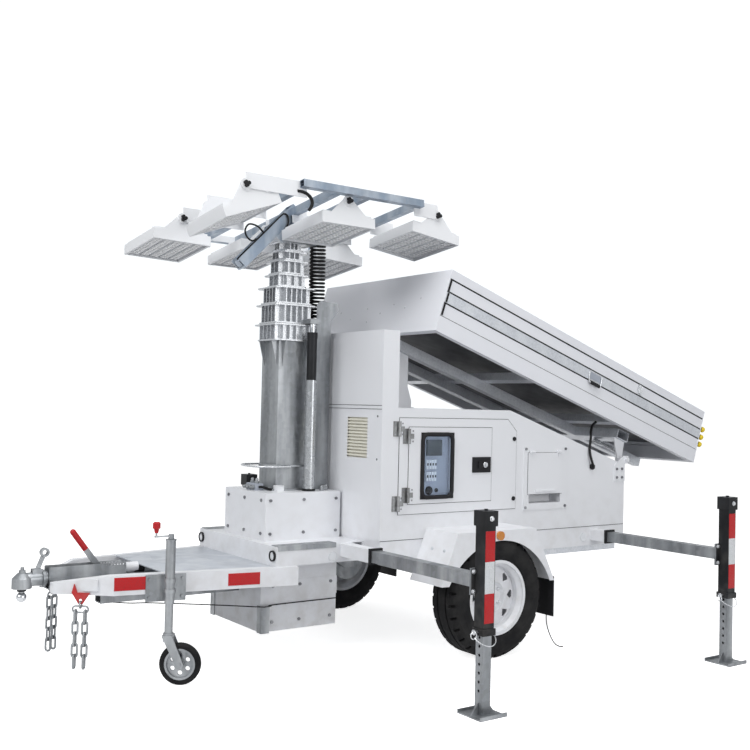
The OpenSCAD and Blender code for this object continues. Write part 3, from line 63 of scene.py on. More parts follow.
# frames that the drawn pieces are set in, in metres
layoutShift = Vector((498.634814, -382.75, 0.0))  # the layout starts at the cabinet's front wall
layoutFrame = Matrix.Translation(-layoutShift / 1000)
arraySlope = 18.3
arrayFrame = layoutFrame @ moved(0.318, 0, 1.814) @ turned(arraySlope, "Y")
headFrame = layoutFrame @ moved(-0.265, 0, 2.455) @ turned(-6.7, "X")
jockeyFrame = layoutFrame @ moved(-1.12, -0.40268, 0) @ turned(54, "Z")
lampSeat = (0.345, -0.045)  # out and up from the middle of the head
lampPlaces = {  # along the head, side, tilt at rest
    "near_front_lamp": (-0.58, -1, -20), "near_middle_lamp": (0.04, -1, 0), "near_rear_lamp": (0.655, -1, 8),
    "far_front_lamp": (-0.6, 1, 2), "far_middle_lamp": (-0.075, 1, 0), "far_rear_lamp": (0.445, 1, 4)}


def lampFrame(name):
    x, side, tilt = lampPlaces[name]
    return headFrame @ moved(x, side * lampSeat[0], lampSeat[1]) @ turned(tilt, "Y")


def at(x, y, z):  # layout millimetres to the row frame in metres
    return (Vector((x, y, z)) - layoutShift) / 1000


# camera, solved from the photo's edges
viewFrom = {"place": (-3189.8, -4958.9, 1380.9), "yaw": 35.7293, "pitch": 1.7982, "roll": 1.357,
            "focal": 995.49, "pixels": 750, "sensor": 36, "reach": 60}


def addCamera():
    yaw, pitch, roll = (math.radians(viewFrom[key]) for key in ("yaw", "pitch", "roll"))
    ahead = Vector((math.sin(yaw) * math.cos(pitch), math.cos(yaw) * math.cos(pitch), math.sin(pitch)))
    right = Vector((math.cos(yaw), -math.sin(yaw), 0))
    up = right.cross(ahead)
    rolledRight = right * math.cos(roll) + up * math.sin(roll)
    rolledUp = up * math.cos(roll) - right * math.sin(roll)
    data = bpy.data.cameras.new("photoCamera")
    data.sensor_width = viewFrom["sensor"]
    data.lens = viewFrom["focal"] * viewFrom["sensor"] / viewFrom["pixels"]
    data.clip_end = viewFrom["reach"]
    camera = bpy.data.objects.new("photoCamera", data)
    bpy.context.scene.collection.objects.link(camera)
    turn = Matrix((rolledRight, rolledUp, -ahead)).transposed().to_4x4()
    camera.matrix_world = Matrix.Translation(at(*viewFrom["place"])) @ turn
    bpy.context.scene.camera = camera


addCamera()


# shader helpers
def feed(tree, socket, value):  # a link from another socket, or a fixed value
    if isinstance(value, bpy.types.NodeSocket):
        tree.links.new(value, socket)
    else:
        socket.default_value = value


def feedAll(tree, sockets, values):
    for key, value in values.items():
        feed(tree, sockets[key], value)


def addNode(tree, kind, **settings):
    node = tree.nodes.new("ShaderNode" + kind)
    for key, value in settings.items():
        if key in node.inputs:
            feed(tree, node.inputs[key], value)
        else:
            setattr(node, key, value)
    return node


def combine(tree, operation, first, second):
    node = addNode(tree, "Math", operation=operation)
    for socket, value in zip(node.inputs, (first, second)):
        feed(tree, socket, value)
    return node.outputs[0]


def mixColours(tree, factor, first, second):
    mix = addNode(tree, "Mix", data_type="RGBA")
    for number, value in ((0, factor), (6, first), (7, second)):
        feed(tree, mix.inputs[number], value)
    return mix.outputs[2]


def remap(tree, value, low, high, toLow, toHigh):
    limits = {"From Min": low, "From Max": high, "To Min": toLow, "To Max": toHigh}
    return addNode(tree, "MapRange", Value=value, **limits).outputs["Result"]


def objectPlace(tree):
    return addNode(tree, "TexCoord").outputs["Object"]


def noise(tree, place, scale, detail):
    return addNode(tree, "TexNoise", Vector=place, Scale=scale, Detail=detail).outputs[0]


materials = {}


def newMaterial(name):
    material = bpy.data.materials.new(name)
    material.use_nodes = True
    materials[name] = material
    return material.node_tree, material.node_tree.nodes["Principled BSDF"].inputs


# plain white backdrop, wide lamp overhead, softer ones ahead and at the sides
studio = {"sky": (0.95, 0.98, 1, 1), "skySeen": 1.1, "ambient": 0.26, "mirrored": 0.55, "floorSize": 60,
          "floorLevel": -0.0005, "seenFloor": (0.93, 0.93, 0.93, 1), "bounceFloor": (0.52, 0.525, 0.54, 1),
          "floorRough": 0.9, "floorGlow": 0.78}
studioLamps = {  # place, target, size, power
    "overheadLamp": ((-0.8, -1.4, 6.8), (0, 0, 0.6), 6.0, 262),
    "frontLamp": ((-7.5, -1.5, 4.6), (-0.5, 0, 1.0), 4.5, 270),
    "farLamp": ((1.5, 7.5, 3.2), (0, 0, 0.8), 4.0, 90),
    "nearLamp": ((1.0, -7.5, 2.4), (0, 0, 0.7), 4.0, 165)}


def addLamp(name, place, target, size, power):
    data = bpy.data.lights.new(name, "AREA")
    data.shape = "DISK"
    data.size = size
    data.energy = power
    lamp = bpy.data.objects.new(name, data)
    bpy.context.scene.collection.objects.link(lamp)
    lamp.location = place
    lamp.rotation_euler = (Vector(target) - Vector(place)).to_track_quat("-Z", "Y").to_euler()


def seenRays(tree):  # rays that show the backdrop itself: straight, through glass or, dimmer, mirrored
    rays = addNode(tree, "LightPath").outputs
    straight = combine(tree, "MAXIMUM", rays["Is Camera Ray"], rays["Is Transmission Ray"])
    mirrored = combine(tree, "MULTIPLY", rays["Is Glossy Ray"], studio["mirrored"])
    return combine(tree, "MAXIMUM", straight, mirrored)


def addStudio():
    world = bpy.data.worlds.new("studioWorld")
    bpy.context.scene.world = world
    world.use_nodes = True
    tree = world.node_tree
    strength = remap(tree, seenRays(tree), 0.0, 1.0, studio["ambient"], studio["skySeen"])
    feedAll(tree, tree.nodes["Background"].inputs, {"Color": studio["sky"], "Strength": strength})
    for name, values in studioLamps.items():
        addLamp(name, *values)
    bpy.data.objects["farLamp"].visible_glossy = False  # fills the far side without a glare on the deck
    bpy.ops.mesh.primitive_plane_add(size=studio["floorSize"], location=(0, 0, studio["floorLevel"]))
    floor = bpy.context.object
    floor.name = "studioFloor"
    tree, shader = newMaterial("floorPaper")
    seen = seenRays(tree)
    feedAll(tree, shader, {
        "Base Color": mixColours(tree, seen, studio["bounceFloor"], studio["seenFloor"]),
        "Roughness": studio["floorRough"], "Emission Color": (1, 1, 1, 1),
        "Emission Strength": combine(tree, "MULTIPLY", seen, studio["floorGlow"])})
    floor.data.materials.append(materials["floorPaper"])
    bpy.context.scene.view_settings.view_transform = "Standard"


addStudio()
print("camera and studio set")


# finishes: shared surface effects first, then one material for each finish
def startSkin(name, third):
    tree = bpy.data.node_groups.new(name, "ShaderNodeTree")
    for way, last in (("INPUT", third), ("OUTPUT", "Height")):
        for label, kind in (("Colour", "Color"), ("Roughness", "Float"), (last, "Float")):
            tree.interface.new_socket(label, in_out=way, socket_type="NodeSocket" + kind)
    return tree, tree.nodes.new("NodeGroupInput").outputs, objectPlace(tree)


def endSkin(tree, skin, colour, wobble, height):  # the wobble is added to the roughness
    rough = combine(tree, "ADD", skin["Roughness"], wobble)
    outs = tree.nodes.new("NodeGroupOutput").inputs
    feedAll(tree, outs, {"Colour": colour, "Roughness": rough, "Height": height})
    return tree


skinValues = {  # noise as scale and detail, ranges as from and to, tints
    "paintSkin": {"sizes": ((2.2, 4.0), (420.0, 1.0), (14.0, 6.0)), "height": (0.15, 0.95, 1.0, 0.0),
                  "dust": (0.42, 0.7, 0.0, 1.0), "dustTint": (0.42, 0.39, 0.35, 1),
                  "fade": (0.35, 0.7, 0.0, 0.06), "fadeTint": (0.5, 0.53, 0.58, 1),
                  "wobble": (0.3, 0.75, -0.05, 0.12)},
    "zincSpangle": {"stretch": (1.6, 1.6, 0.25), "size": (7.0, 5.0), "dark": (0.0, 1.0, 0.0, 0.3),
                    "darkTint": (0.3, 0.32, 0.35, 1), "pale": (0.4, 0.75, 0.0, 0.4),
                    "paleTint": (0.8, 0.82, 0.84, 1), "wobble": (0.0, 1.0, -0.1, 0.12)},
    "rubberGrain": {"sizes": ((600.0, 2.0), (9.0, 5.0)), "bloom": (0.4, 0.75, 0.0, 1.0),
                    "bloomTint": (0.1, 0.098, 0.094, 1), "wobble": (0.3, 0.7, -0.08, 0.1)}}
bumpDepth = 0.001


def paintSkin(sizes, height, dust, dustTint, fade, fadeTint, wobble):
    # sprayed coat: orange peel, faint mottle, road dust low down
    tree, skin, place = startSkin("paintSkin", "Dust")
    mottle, peel, specks = (noise(tree, place, *size) for size in sizes)
    level = addNode(tree, "SeparateXYZ", Vector=place).outputs["Z"]
    spots = combine(tree, "MULTIPLY", remap(tree, level, *height), remap(tree, specks, *dust))
    grime = combine(tree, "MULTIPLY", spots, skin["Dust"])
    shade = mixColours(tree, remap(tree, mottle, *fade), skin["Colour"], fadeTint)
    colour = mixColours(tree, grime, shade, dustTint)
    return endSkin(tree, skin, colour, remap(tree, specks, *wobble), peel)


def zincSpangle(stretch, size, dark, darkTint, pale, paleTint, wobble):
    # hot-dip zinc: crystal patches and run marks
    tree, skin, place = startSkin("zincSpangle", "Patch")
    crystal = addNode(tree, "TexVoronoi", Vector=place, Scale=skin["Patch"])
    tone = addNode(tree, "SeparateColor", Color=crystal.outputs["Color"]).outputs
    runs = noise(tree, addNode(tree, "Mapping", Vector=place, Scale=stretch).outputs[0], *size)
    patches = mixColours(tree, remap(tree, tone[0], *dark), skin["Colour"], darkTint)
    colour = mixColours(tree, remap(tree, runs, *pale), patches, paleTint)
    return endSkin(tree, skin, colour, remap(tree, tone[1], *wobble), tone[2])


def rubberGrain(sizes, bloom, bloomTint, wobble):  # fine grain, dull grey bloom
    tree, skin, place = startSkin("rubberGrain", "Bloom")
    grain, cloud = (noise(tree, place, *size) for size in sizes)
    amount = combine(tree, "MULTIPLY", remap(tree, cloud, *bloom), skin["Bloom"])
    colour = mixColours(tree, amount, skin["Colour"], bloomTint)
    return endSkin(tree, skin, colour, remap(tree, cloud, *wobble), grain)


groups = {"paintSkin": paintSkin(**skinValues["paintSkin"]),
          "zincSpangle": zincSpangle(**skinValues["zincSpangle"]),
          "rubberGrain": rubberGrain(**skinValues["rubberGrain"])}

finishes = {  # colour, roughness, third input, bump, then metal, coat and specular level where set
    "paintSkin": {
        "whiteCoat": ((0.80, 0.81, 0.84), 0.36, 0.35, 0.03, 0, 0.15),
        "whiteAlloy": ((0.79, 0.80, 0.84), 0.40, 0.0, 0.03),
        "lampCase": ((0.82, 0.83, 0.85), 0.42, 0.0, 0.05),
        "blackCoat": ((0.007, 0.007, 0.008), 0.34, 0.15, 0.03, 0, 0, 0.14),
        "redCoat": ((0.50, 0.02, 0.02), 0.35, 0.15, 0.03, 0, 0, 0.3),
        "greyPanel": ((0.36, 0.39, 0.45), 0.45, 0.0, 0.03),
        "creamSlat": ((0.78, 0.76, 0.66), 0.5, 0.0, 0.03),
        "darkDisplay": ((0.02, 0.03, 0.035), 0.08, 0.0, 0.01, 0, 1.0),
        "emitterBoard": ((0.72, 0.73, 0.75), 0.45, 0.0, 0.03),
        "emitterLens": ((0.86, 0.86, 0.86), 0.16, 0.0, 0.02, 0, 0.8),
        "backSheet": ((0.045, 0.045, 0.05), 0.55, 0.0, 0.03)},
    "zincSpangle": {
        "galvanised": ((0.205, 0.215, 0.225), 0.42, 45.0, 0.03, 0.75),
        # lighter, bluer copy of the galvanised zinc for the lamp frame: a painted reflection of the sky on
        # its tubes
        "headZincPaintedSky": ((0.26, 0.32, 0.40), 0.42, 45.0, 0.03, 0.75),
        "castCollar": ((0.66, 0.67, 0.69), 0.30, 260.0, 0.08, 0.85),
        "hingeSteel": ((0.115, 0.112, 0.106), 0.38, 120.0, 0.02, 0.8),
        "darkBolt": ((0.14, 0.14, 0.15), 0.40, 200.0, 0.04, 0.8),
        "millAlloy": ((0.64, 0.66, 0.70), 0.38, 120.0, 0.02, 0.6),
        "polishedRod": ((0.60, 0.61, 0.63), 0.14, 15.0, 0.005, 1.0),
        "wrapFilm": ((0.34, 0.355, 0.37), 0.24, 38.0, 0.9, 0.5, 0.8),
        "brassBush": ((0.62, 0.45, 0.20), 0.32, 200.0, 0.02, 0.9),
        "deckFilm": ((0.52, 0.55, 0.60), 0.45, 9.0, 0.06, 0.25)},
    "rubberGrain": {
        "tyreRubber": ((0.006, 0.006, 0.007), 0.72, 0.30, 0.10, 0, 0, 0.14),
        "cableRubber": ((0.012, 0.012, 0.013), 0.45, 0.10, 0.05, 0, 0, 0.14),
        "moulding": ((0.018, 0.018, 0.020), 0.50, 0.06, 0.06, 0, 0, 0.14),
        "redGrip": ((0.48, 0.015, 0.02), 0.38, 0.05, 0.05, 0, 0, 0.3),
        "yellowKnob": ((0.85, 0.62, 0.02), 0.35, 0.03, 0.03),
        "amberLens": ((0.56, 0.19, 0.005), 0.14, 0.0, 0.02, 0, 0.5),
        "clearLens": ((0.75, 0.77, 0.80), 0.10, 0.0, 0.02, 0, 1.0)}}


def makeFinish(name, groupName, colour, rough, third, bump, metal=0, coat=0, specular=0.5):
    tree, shader = newMaterial(name)
    skin = addNode(tree, "Group", node_tree=groups[groupName])
    for socket, value in zip(skin.inputs, ((*colour, 1), rough, third)):
        socket.default_value = value
    relief = addNode(tree, "Bump", Strength=bump, Distance=bumpDepth, Height=skin.outputs["Height"])
    feedAll(tree, shader, {"Base Color": skin.outputs["Colour"], "Roughness": skin.outputs["Roughness"],
                           "Normal": relief.outputs["Normal"], "Metallic": metal, "Coat Weight": coat,
                           "Specular IOR Level": specular})


for groupName, rows in finishes.items():
    for finishName, values in rows.items():
        makeFinish(finishName, groupName, *values)

tapeColours = {"redTape": (0.56, 0.008, 0.012), "whiteTape": (0.78, 0.80, 0.82)}
filmValues = {"size": 260.0, "edge": (0.02, 0.12, 0.0, 1.0), "deep": 0.6, "rough": (0.0, 1.0, 0.5, 0.22),
              "gloss": {"Specular IOR Level": 0.25, "Coat Weight": 0.15}}


def makeTape(name, colour, size, edge, deep, rough, gloss):  # reflective tape: small cells in the film
    tree, shader = newMaterial(name)
    cells = addNode(tree, "TexVoronoi", feature="DISTANCE_TO_EDGE", Vector=objectPlace(tree), Scale=size)
    inside = remap(tree, cells.outputs["Distance"], *edge)
    dark = tuple(deep * c for c in colour)
    feedAll(tree, shader, {"Base Color": mixColours(tree, inside, (*dark, 1), (*colour, 1)),
                           "Roughness": remap(tree, inside, *rough), **gloss})


for tapeName, tapeColour in tapeColours.items():
    makeTape(tapeName, tapeColour, **filmValues)

solarValues = {
    "cells": {"Color1": (0.01, 0.014, 0.035, 1), "Color2": (0.014, 0.02, 0.048, 1), "Scale": 1.0,
              "Mortar": (0.34, 0.36, 0.4, 1), "Mortar Size": 0.0016, "Brick Width": 0.158,
              "Row Height": 0.158},
    "buses": {"Color1": (0, 0, 0, 1), "Color2": (0, 0, 0, 1), "Mortar": (1, 1, 1, 1), "Scale": 1.0,
              "Mortar Size": 0.0007, "Brick Width": 3.0, "Row Height": 0.0395},
    "busShare": 0.5, "busColour": (0.45, 0.47, 0.5, 1),
    "glass": {"Roughness": 0.16, "Coat Weight": 1.0, "Coat Roughness": 0.04}}


def makeSolarGlass(cells, buses, busShare, busColour, glass):  # dark cells, pale bus lines along the slope
    tree, shader = newMaterial("solarGlass")
    slope = addNode(tree, "Mapping", vector_type="TEXTURE", Location=arrayFrame.to_translation(),
                    Rotation=(0, math.radians(arraySlope), 0), Vector=objectPlace(tree)).outputs[0]
    field, lines = (addNode(tree, "TexBrick", offset=0.0, Vector=slope, **bricks).outputs["Color"]
                    for bricks in (cells, buses))
    share = combine(tree, "MULTIPLY", lines, busShare)
    feedAll(tree, shader, {"Base Color": mixColours(tree, share, field, busColour), **glass})


paneValues = {"smear": (18.0, 4.0), "rough": (0.4, 0.8, 0.02, 0.12),
              "glass": {"Base Color": (0.74, 0.79, 0.86, 1), "Transmission Weight": 1.0, "IOR": 1.25}}


def makeWindowGlass(smear, rough, glass):
    tree, shader = newMaterial("windowGlass")
    blur = noise(tree, objectPlace(tree), *smear)
    feedAll(tree, shader, {"Roughness": remap(tree, blur, *rough), **glass})


makeSolarGlass(**solarValues)
makeWindowGlass(**paneValues)
print("finishes made:", len(materials))

regionSlack = 0.2


def paint(nodeName, base, regions=(), place=layoutFrame):
    # faces whose corners all lie in a region take its finish: a box in mm, or a test of the corners
    mesh = nodes[nodeName].data
    corners = np.empty(len(mesh.vertices) * 3)
    mesh.vertices.foreach_get("co", corners)
    inverse = np.array(place.inverted())
    corners = (corners.reshape(-1, 3) @ inverse[:3, :3].T + inverse[:3, 3]) * 1000
    loops = np.empty(len(mesh.loops), dtype=np.int32)
    mesh.loops.foreach_get("vertex_index", loops)
    faces = loops.reshape(-1, 3)
    slots = np.zeros(len(faces), dtype=np.int32)
    mesh.materials.clear()
    mesh.materials.append(materials[base])
    known = [base]
    for finish, *where in regions:
        if callable(where[0]):
            inside = where[0](corners)
        else:
            low, high = np.array(where[0]) - regionSlack, np.array(where[1]) + regionSlack
            inside = ((corners >= low) & (corners <= high)).all(axis=1)
        if finish not in known:
            known.append(finish)
            mesh.materials.append(materials[finish])
        slots[inside[faces].all(axis=1)] = known.index(finish)
    mesh.polygons.foreach_set("material_index", slots)
    mesh.update()


def bothSides(finish, low, high):  # a region and its mirror image across the long axis
    return [(finish, low, high), (finish, (low[0], -high[1], low[2]), (high[0], -low[1], high[2]))]


plain = {
    "whiteCoat": ["near_drawbar_rail", "far_drawbar_rail", "mast_base_box", "outlet_flap", "near_rim",
                  "far_rim"],
    "galvanised": ["near_chain", "far_chain", "coupling_lever", "jockey_tube", "jockey_leg", "jockey_fork",
                   "axle", "near_front_leg", "near_rear_leg", "far_front_leg", "far_rear_leg"],
    "darkBolt": ["fasteners"], "tyreRubber": ["near_tyre", "far_tyre"],
    "cableRubber": ["coil_cable", "earth_lead"]}
for finishName, nodeNames in plain.items():
    for nodeName in nodeNames:
        paint(nodeName, finishName)

paint("tongue_beam", "galvanised", [
    ("deckFilm", (-1121, -420, 526), (-549, 420, 533)), ("whiteCoat", (-1262, -26, 492), (-1124, 26, 544)),
    ("moulding", (-1141, -18, 488), (-1079, 18, 524)),
    *bothSides("redCoat", (-1560, -275, 380), (-1420, -140, 492))])
paint("coupling_head", "galvanised", [("moulding", (-1738, -23, 438.5), (-1692, 23, 453.5)),
                                      ("polishedRod", (-1741, -26, 384), (-1689, 26, 436))])
paint("handbrake_lever", "galvanised", [("redGrip", (-1505, -17, 606), (-1385, 17, 745))])
paint("jockey_wheel", "tyreRubber", [
    ("galvanised", lambda p: np.hypot(p[:, 1] + 62, p[:, 2] - 102) < 76.5)], jockeyFrame)
paint("jockey_crank", "galvanised", [("redGrip", (-1220, -425, 739), (-1176, -380, 800))])
paint("chassis_frame", "whiteCoat", bothSides("moulding", (-300, -735, 540), (1900, -719.5, 655)) +
      bothSides("millAlloy", (845, -599, 493), (1905, -593, 530.5)))
paint("mast_platform", "whiteCoat", bothSides("galvanised", (-545, -454, 612), (-179, -379, 640)) +
      bothSides("moulding", (-563, -447, 558), (-549.5, -389, 616)) +
      bothSides("clearLens", (-558, -441, 564), (-556, -395, 610)))
paint("pump_box", "whiteCoat", bothSides("galvanised", (-546, -301, 155), (-494, -249, 301)))
paint("batteries", "moulding", [("brassBush", (100, -500, 884), (1000, 500, 901))])
paint("mast_tube", "galvanised", [("castCollar", (-410, -145, 1739.5), (-120, 145, 1836))])
liftRod = ("polishedRod", (-207, -189, 600), (-173, -155, 1852))
collarTiers = [(1839, 108), (1951, 95), (2050, 70), (2124, 75), (2203, 50), (2257, 48)]  # foot and rise
for tier, (low, rise) in enumerate(collarTiers, 1):
    collar = ("castCollar", (-410, -150, low - 0.4), (-120, 150, low + rise + 0.4))
    paint("mast_section_" + str(tier), "galvanised", [collar, liftRod] if tier == 1 else [collar])
paint("lift_cylinder", "blackCoat", [("wrapFilm", (-230, -215, 909), (-150, -130, 1521))])
paint("cable_guard", "galvanised", [("moulding", (-35, -17, 1793), (-1, 17, 1814.5))])
# the lamp frame takes the lighter, bluer zinc, which paints the sky's reflection into its colour
paint("lamp_frame", "headZincPaintedSky", [("lampCase", (-720, y - 0.5, -80), (720, y + 6.5, 20))
                                 for y in (-134.5, -561.5, 128.5, 555.5)], headFrame)
for nodeName in lampPlaces:
    paint(nodeName, "lampCase", [
        ("emitterBoard", (-157, -197, -133), (157, 197, -116)),
        *bothSides("moulding", (-40, -245, -40), (40, -216.4, 40))], lampFrame(nodeName))
paint("cabinet_shell", "whiteCoat", [
    ("hingeSteel", (75, -630, 800), (126, -600, 905)), ("hingeSteel", (75, -630, 1210), (126, -600, 1310)),
    ("creamSlat", (-0.5, -468.5, 1085), (12, -266.5, 1330)),
    ("moulding", (1127, -541, 952), (1363, -512.5, 1038))])
outerBands, innerBands = [(805, 895), (1215, 1305)], [(853, 937), (1178, 1262)]
paint("outer_door", "whiteCoat", [
    *[("hingeSteel", (98, -627, low), (160, -602.6, high)) for low, high in outerBands],
    *[("hingeSteel", (138, -628, low), (192, -602.6, high)) for low, high in innerBands],
    *[("moulding", (967, -609, z - 14), (997, -602.6, z + 14)) for z in (850, 1205)]])
paint("inner_door", "whiteCoat", [
    *[("hingeSteel", (165, -629, low), (225, -604.6, high)) for low, high in innerBands],
    ("moulding", (269, -613, 868), (507, -604.6, 1242)),
    ("windowGlass", (285, -604.3, 884), (491, -600.6, 1226)),
    ("greyPanel", (275, -585.5, 873), (502, -524, 1236)),
    ("moulding", (649, -612, 1009), (791, -604.6, 1101)),
    ("moulding", (689, -620, 1034), (766, -610.9, 1076))])
paint("array_supports", "whiteCoat", [("millAlloy", (5, -600, -60.6), (2446, 600, 0.6))], arrayFrame)
paint("array_housing", "whiteAlloy", [
    ("solarGlass", (20, -628, 365.5), (2430, 628, 366.5)),
    *[("millAlloy", (s - 31, -612, -0.5), (s + 31, 612, 50.5)) for s in (830, 1620)],
    *bothSides("millAlloy", (-1, -651, 174.5), (2451, -609, 235.5))], arrayFrame)
for nodeName, low in (("upper_panel", 239), ("lower_panel", 95)):
    paint(nodeName, "whiteAlloy", [
        ("solarGlass", (38, -614, low + 35.5), (2412, 614, low + 36.5)),
        ("backSheet", (38, -614, low + 19.5), (2412, 614, low + 20.5))], arrayFrame)
for number, nodeName in enumerate(("near_fender", "far_fender")):
    paint(nodeName, "whiteCoat", [bothSides("amberLens", (600, -891, 655), (652, -875.6, 707))[number],
                                  bothSides("moulding", (1057, -871, 189), (1067, -639, 421))[number]])
for end, x in (("front", -115), ("rear", 1700)):
    for side, low, high in (("near_", (x - 56, -1543.5, 530), (x + 56, -479, 665)),
                            ("far_", (x + 17, -301, 530), (x + 129, 763.5, 665))):
        paint(side + end + "_outrigger", "blackCoat", [("galvanised", low, high)])
print("solids painted")


# modelling helpers: pieces are drawn in millimetres and laid into a frame when they are finished
creaseAngle = math.radians(35)


def choose(*pieces):
    bpy.ops.object.select_all(action="DESELECT")
    for piece in pieces:
        piece.select_set(True)
    bpy.context.view_layer.objects.active = pieces[0]


def smoothRoute(route, steps):  # the same route with softer turns
    points, result = [Vector(p) for p in route], []
    last = len(points) - 1
    for i in range(last):
        before, here, after, beyond = (points[min(max(k, 0), last)] for k in (i - 1, i, i + 1, i + 2))
        for t in (step / steps for step in range(steps)):
            square = 2 * before - 5 * here + 4 * after - beyond
            cube = 3 * here - before - 3 * after + beyond
            result.append(0.5 * (2 * here + (after - before) * t + square * t ** 2 + cube * t ** 3))
    return result + [points[-1]]


def drawCurve(name, points, radius, finish, resolution):
    data = bpy.data.curves.new(name, "CURVE")
    data.dimensions = "3D"
    data.bevel_depth = radius
    data.bevel_resolution = resolution
    data.use_fill_caps = True
    line = data.splines.new("POLY")
    line.points.add(len(points) - 1)
    for spot, place in zip(line.points, points):
        spot.co = (*place, 1)
    data.materials.append(materials[finish])
    curve = bpy.data.objects.new(name, data)
    bpy.context.scene.collection.objects.link(curve)
    return curve


def tubeMesh(name, points, radius, finish="cableRubber", resolution=4):
    choose(drawCurve(name, points, radius, finish, resolution))
    bpy.ops.object.convert(target="MESH")
    bpy.ops.object.shade_smooth()
    return bpy.context.object


def softTube(name, route, steps, *shape):
    return tubeMesh(name, smoothRoute(route, steps), *shape)


def startBox(name, low, high):
    bpy.ops.mesh.primitive_cube_add(size=1)
    piece = bpy.context.object
    piece.name = name
    low, high = Vector(low), Vector(high)
    piece.data.transform(Matrix.Translation((low + high) / 2) @ Matrix.Diagonal((*(high - low), 1)))
    return piece


def pickFaces(piece, facing, least=0.95):
    choose(piece)
    bpy.ops.object.mode_set(mode="EDIT")
    bpy.ops.mesh.select_mode(type="FACE")
    bpy.ops.mesh.select_all(action="DESELECT")
    bpy.ops.object.mode_set(mode="OBJECT")
    for face in piece.data.polygons:
        face.select = face.normal.dot(Vector(facing)) > least
    bpy.ops.object.mode_set(mode="EDIT")


def insetFaces(piece, facing, rim, depth):  # an inset rim, sunk or raised
    pickFaces(piece, facing)
    bpy.ops.mesh.inset(thickness=rim, depth=depth)
    bpy.ops.object.mode_set(mode="OBJECT")


def pushFaces(piece, facing, rise, scale):  # extrude, with the end made smaller or larger
    pickFaces(piece, facing)
    bpy.ops.mesh.extrude_region_move(TRANSFORM_OT_translate={"value": [rise * part for part in facing]})
    if scale != 1:
        bpy.ops.transform.resize(value=(scale, scale, scale))
    bpy.ops.object.mode_set(mode="OBJECT")


def softEdges(piece, width, segments=2):
    choose(piece)
    bevel = piece.modifiers.new("softEdges", "BEVEL")
    bevel.width = width
    bevel.segments = segments
    bevel.limit_method = "ANGLE"
    bevel.angle_limit = creaseAngle
    bpy.ops.object.modifier_apply(modifier=bevel.name)


def dress(piece, finish):
    piece.data.materials.clear()
    piece.data.materials.append(materials[finish])
    return piece


def softBox(name, low, high, rim, depth, soft, facing=nearward):  # a box with one face inset
    piece = startBox(name, low, high)
    insetFaces(piece, facing, rim, depth)
    softEdges(piece, soft)
    return piece


def roundPiece(name, radius, low, high, corners, steps=(), soft=0, finish=None):
    # a cylinder on Z, whose top is pushed up to another scale or gets a rim, step by step
    bpy.ops.mesh.primitive_cylinder_add(radius=radius, depth=high - low, vertices=corners)
    piece = bpy.context.object
    piece.name = name
    piece.data.transform(moved(0, 0, (low + high) / 2))
    for kind, size, change in steps:
        {"push": pushFaces, "rim": insetFaces}[kind](piece, upward, size, change)
    if soft:
        softEdges(piece, soft)
    return dress(piece, finish) if finish else piece


def repeatPiece(piece, offset, count):
    choose(piece)
    row = piece.modifiers.new("row", "ARRAY")
    row.use_relative_offset = False
    row.use_constant_offset = True
    row.constant_offset_displace = offset
    row.count = count
    bpy.ops.object.modifier_apply(modifier=row.name)


def copyPiece(piece, name, move=Matrix.Identity(4)):
    twin = piece.copy()
    twin.data = piece.data.copy()
    twin.name = name
    bpy.context.scene.collection.objects.link(twin)
    twin.data.transform(move)
    return twin


def copies(piece, name, spots, keys=None):  # take the place of their pattern
    twins = [copyPiece(piece, name + str(key), spot) for key, spot in zip(keys or range(len(spots)), spots)]
    bpy.data.objects.remove(piece)
    return twins


def mirrorPiece(piece):
    piece.data.transform(Matrix.Diagonal((1, -1, 1, 1)))
    piece.data.flip_normals()


def joinPieces(pieces):
    choose(*pieces)
    bpy.ops.object.join()
    return bpy.context.object


def finishPiece(piece, body, place=layoutFrame, finish=None):
    if finish:
        dress(piece, finish)
    choose(piece)
    bpy.ops.object.shade_smooth_by_angle(angle=creaseAngle)
    piece.data.transform(place @ Matrix.Scale(0.001, 4))
    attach(piece, body)


def setCopies(piece, name, spots, body="trailer", place=layoutFrame, finish=None, keys=None):
    finishPiece(joinPieces(copies(piece, name, spots, keys)), body, place, finish)


# free lead from the near mud flap down to the ground
earthLeadValues = {"radius": 0.003, "resolution": 3, "steps": 3, "route": [
    (1062, -815, 190), (1062, -815, 170), (1063, -816, 150), (1066, -818, 130), (1070, -821, 110),
    (1076, -825, 90), (1083, -829, 70), (1092, -834, 50), (1102, -839, 32), (1114, -845, 18), (1128, -851, 9),
    (1142, -857, 5), (1156, -863, 4)]}


def addEarthLead(radius, resolution, steps, route):
    points = smoothRoute([at(*p) for p in route], steps)
    lead = drawCurve("earthLead", points, radius, "cableRubber", resolution)
    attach(lead, "trailer")
    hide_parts("earth_lead")


# curly supply cable, in one stretch for each mast stage
coilValues = {"cx": -60, "cy": 0, "radius": 42, "wire": 0.007, "low": 1860, "high": 2340, "turns": 22,
              "perTurn": 20, "tail": 40, "tailSteps": 4, "stages": 6}


def addCoilCable(cx, cy, radius, wire, low, high, turns, perTurn, tail, tailSteps, stages):
    count = turns * perTurn
    path = [(0, low - tail * (1 - k / tailSteps)) for k in range(tailSteps)]
    path += [(2 * math.pi * k / perTurn, low + (high - low) * k / count) for k in range(count + 1)]
    path += [(0, high + tail * k / tailSteps) for k in range(1, tailSteps + 1)]
    points = [Vector((cx + radius * math.cos(turn), cy + radius * math.sin(turn), z)) for turn, z in path]
    bottom, top = points[0].z, points[-1].z
    levels = [bottom + (top - bottom) * stage / stages for stage in range(stages)]
    edges = [next(i for i, p in enumerate(points) if p.z >= level) for level in levels] + [len(points) - 1]
    for stage in range(stages):
        part = points[edges[stage]:edges[stage + 1] + 1]
        tube = tubeMesh("coilCable" + str(stage + 1), [at(*p) for p in part], wire)
        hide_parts("coil_cable")
        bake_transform(tube)


addEarthLead(**earthLeadValues)
addCoilCable(**coilValues)
print("cord and coil cable laid")

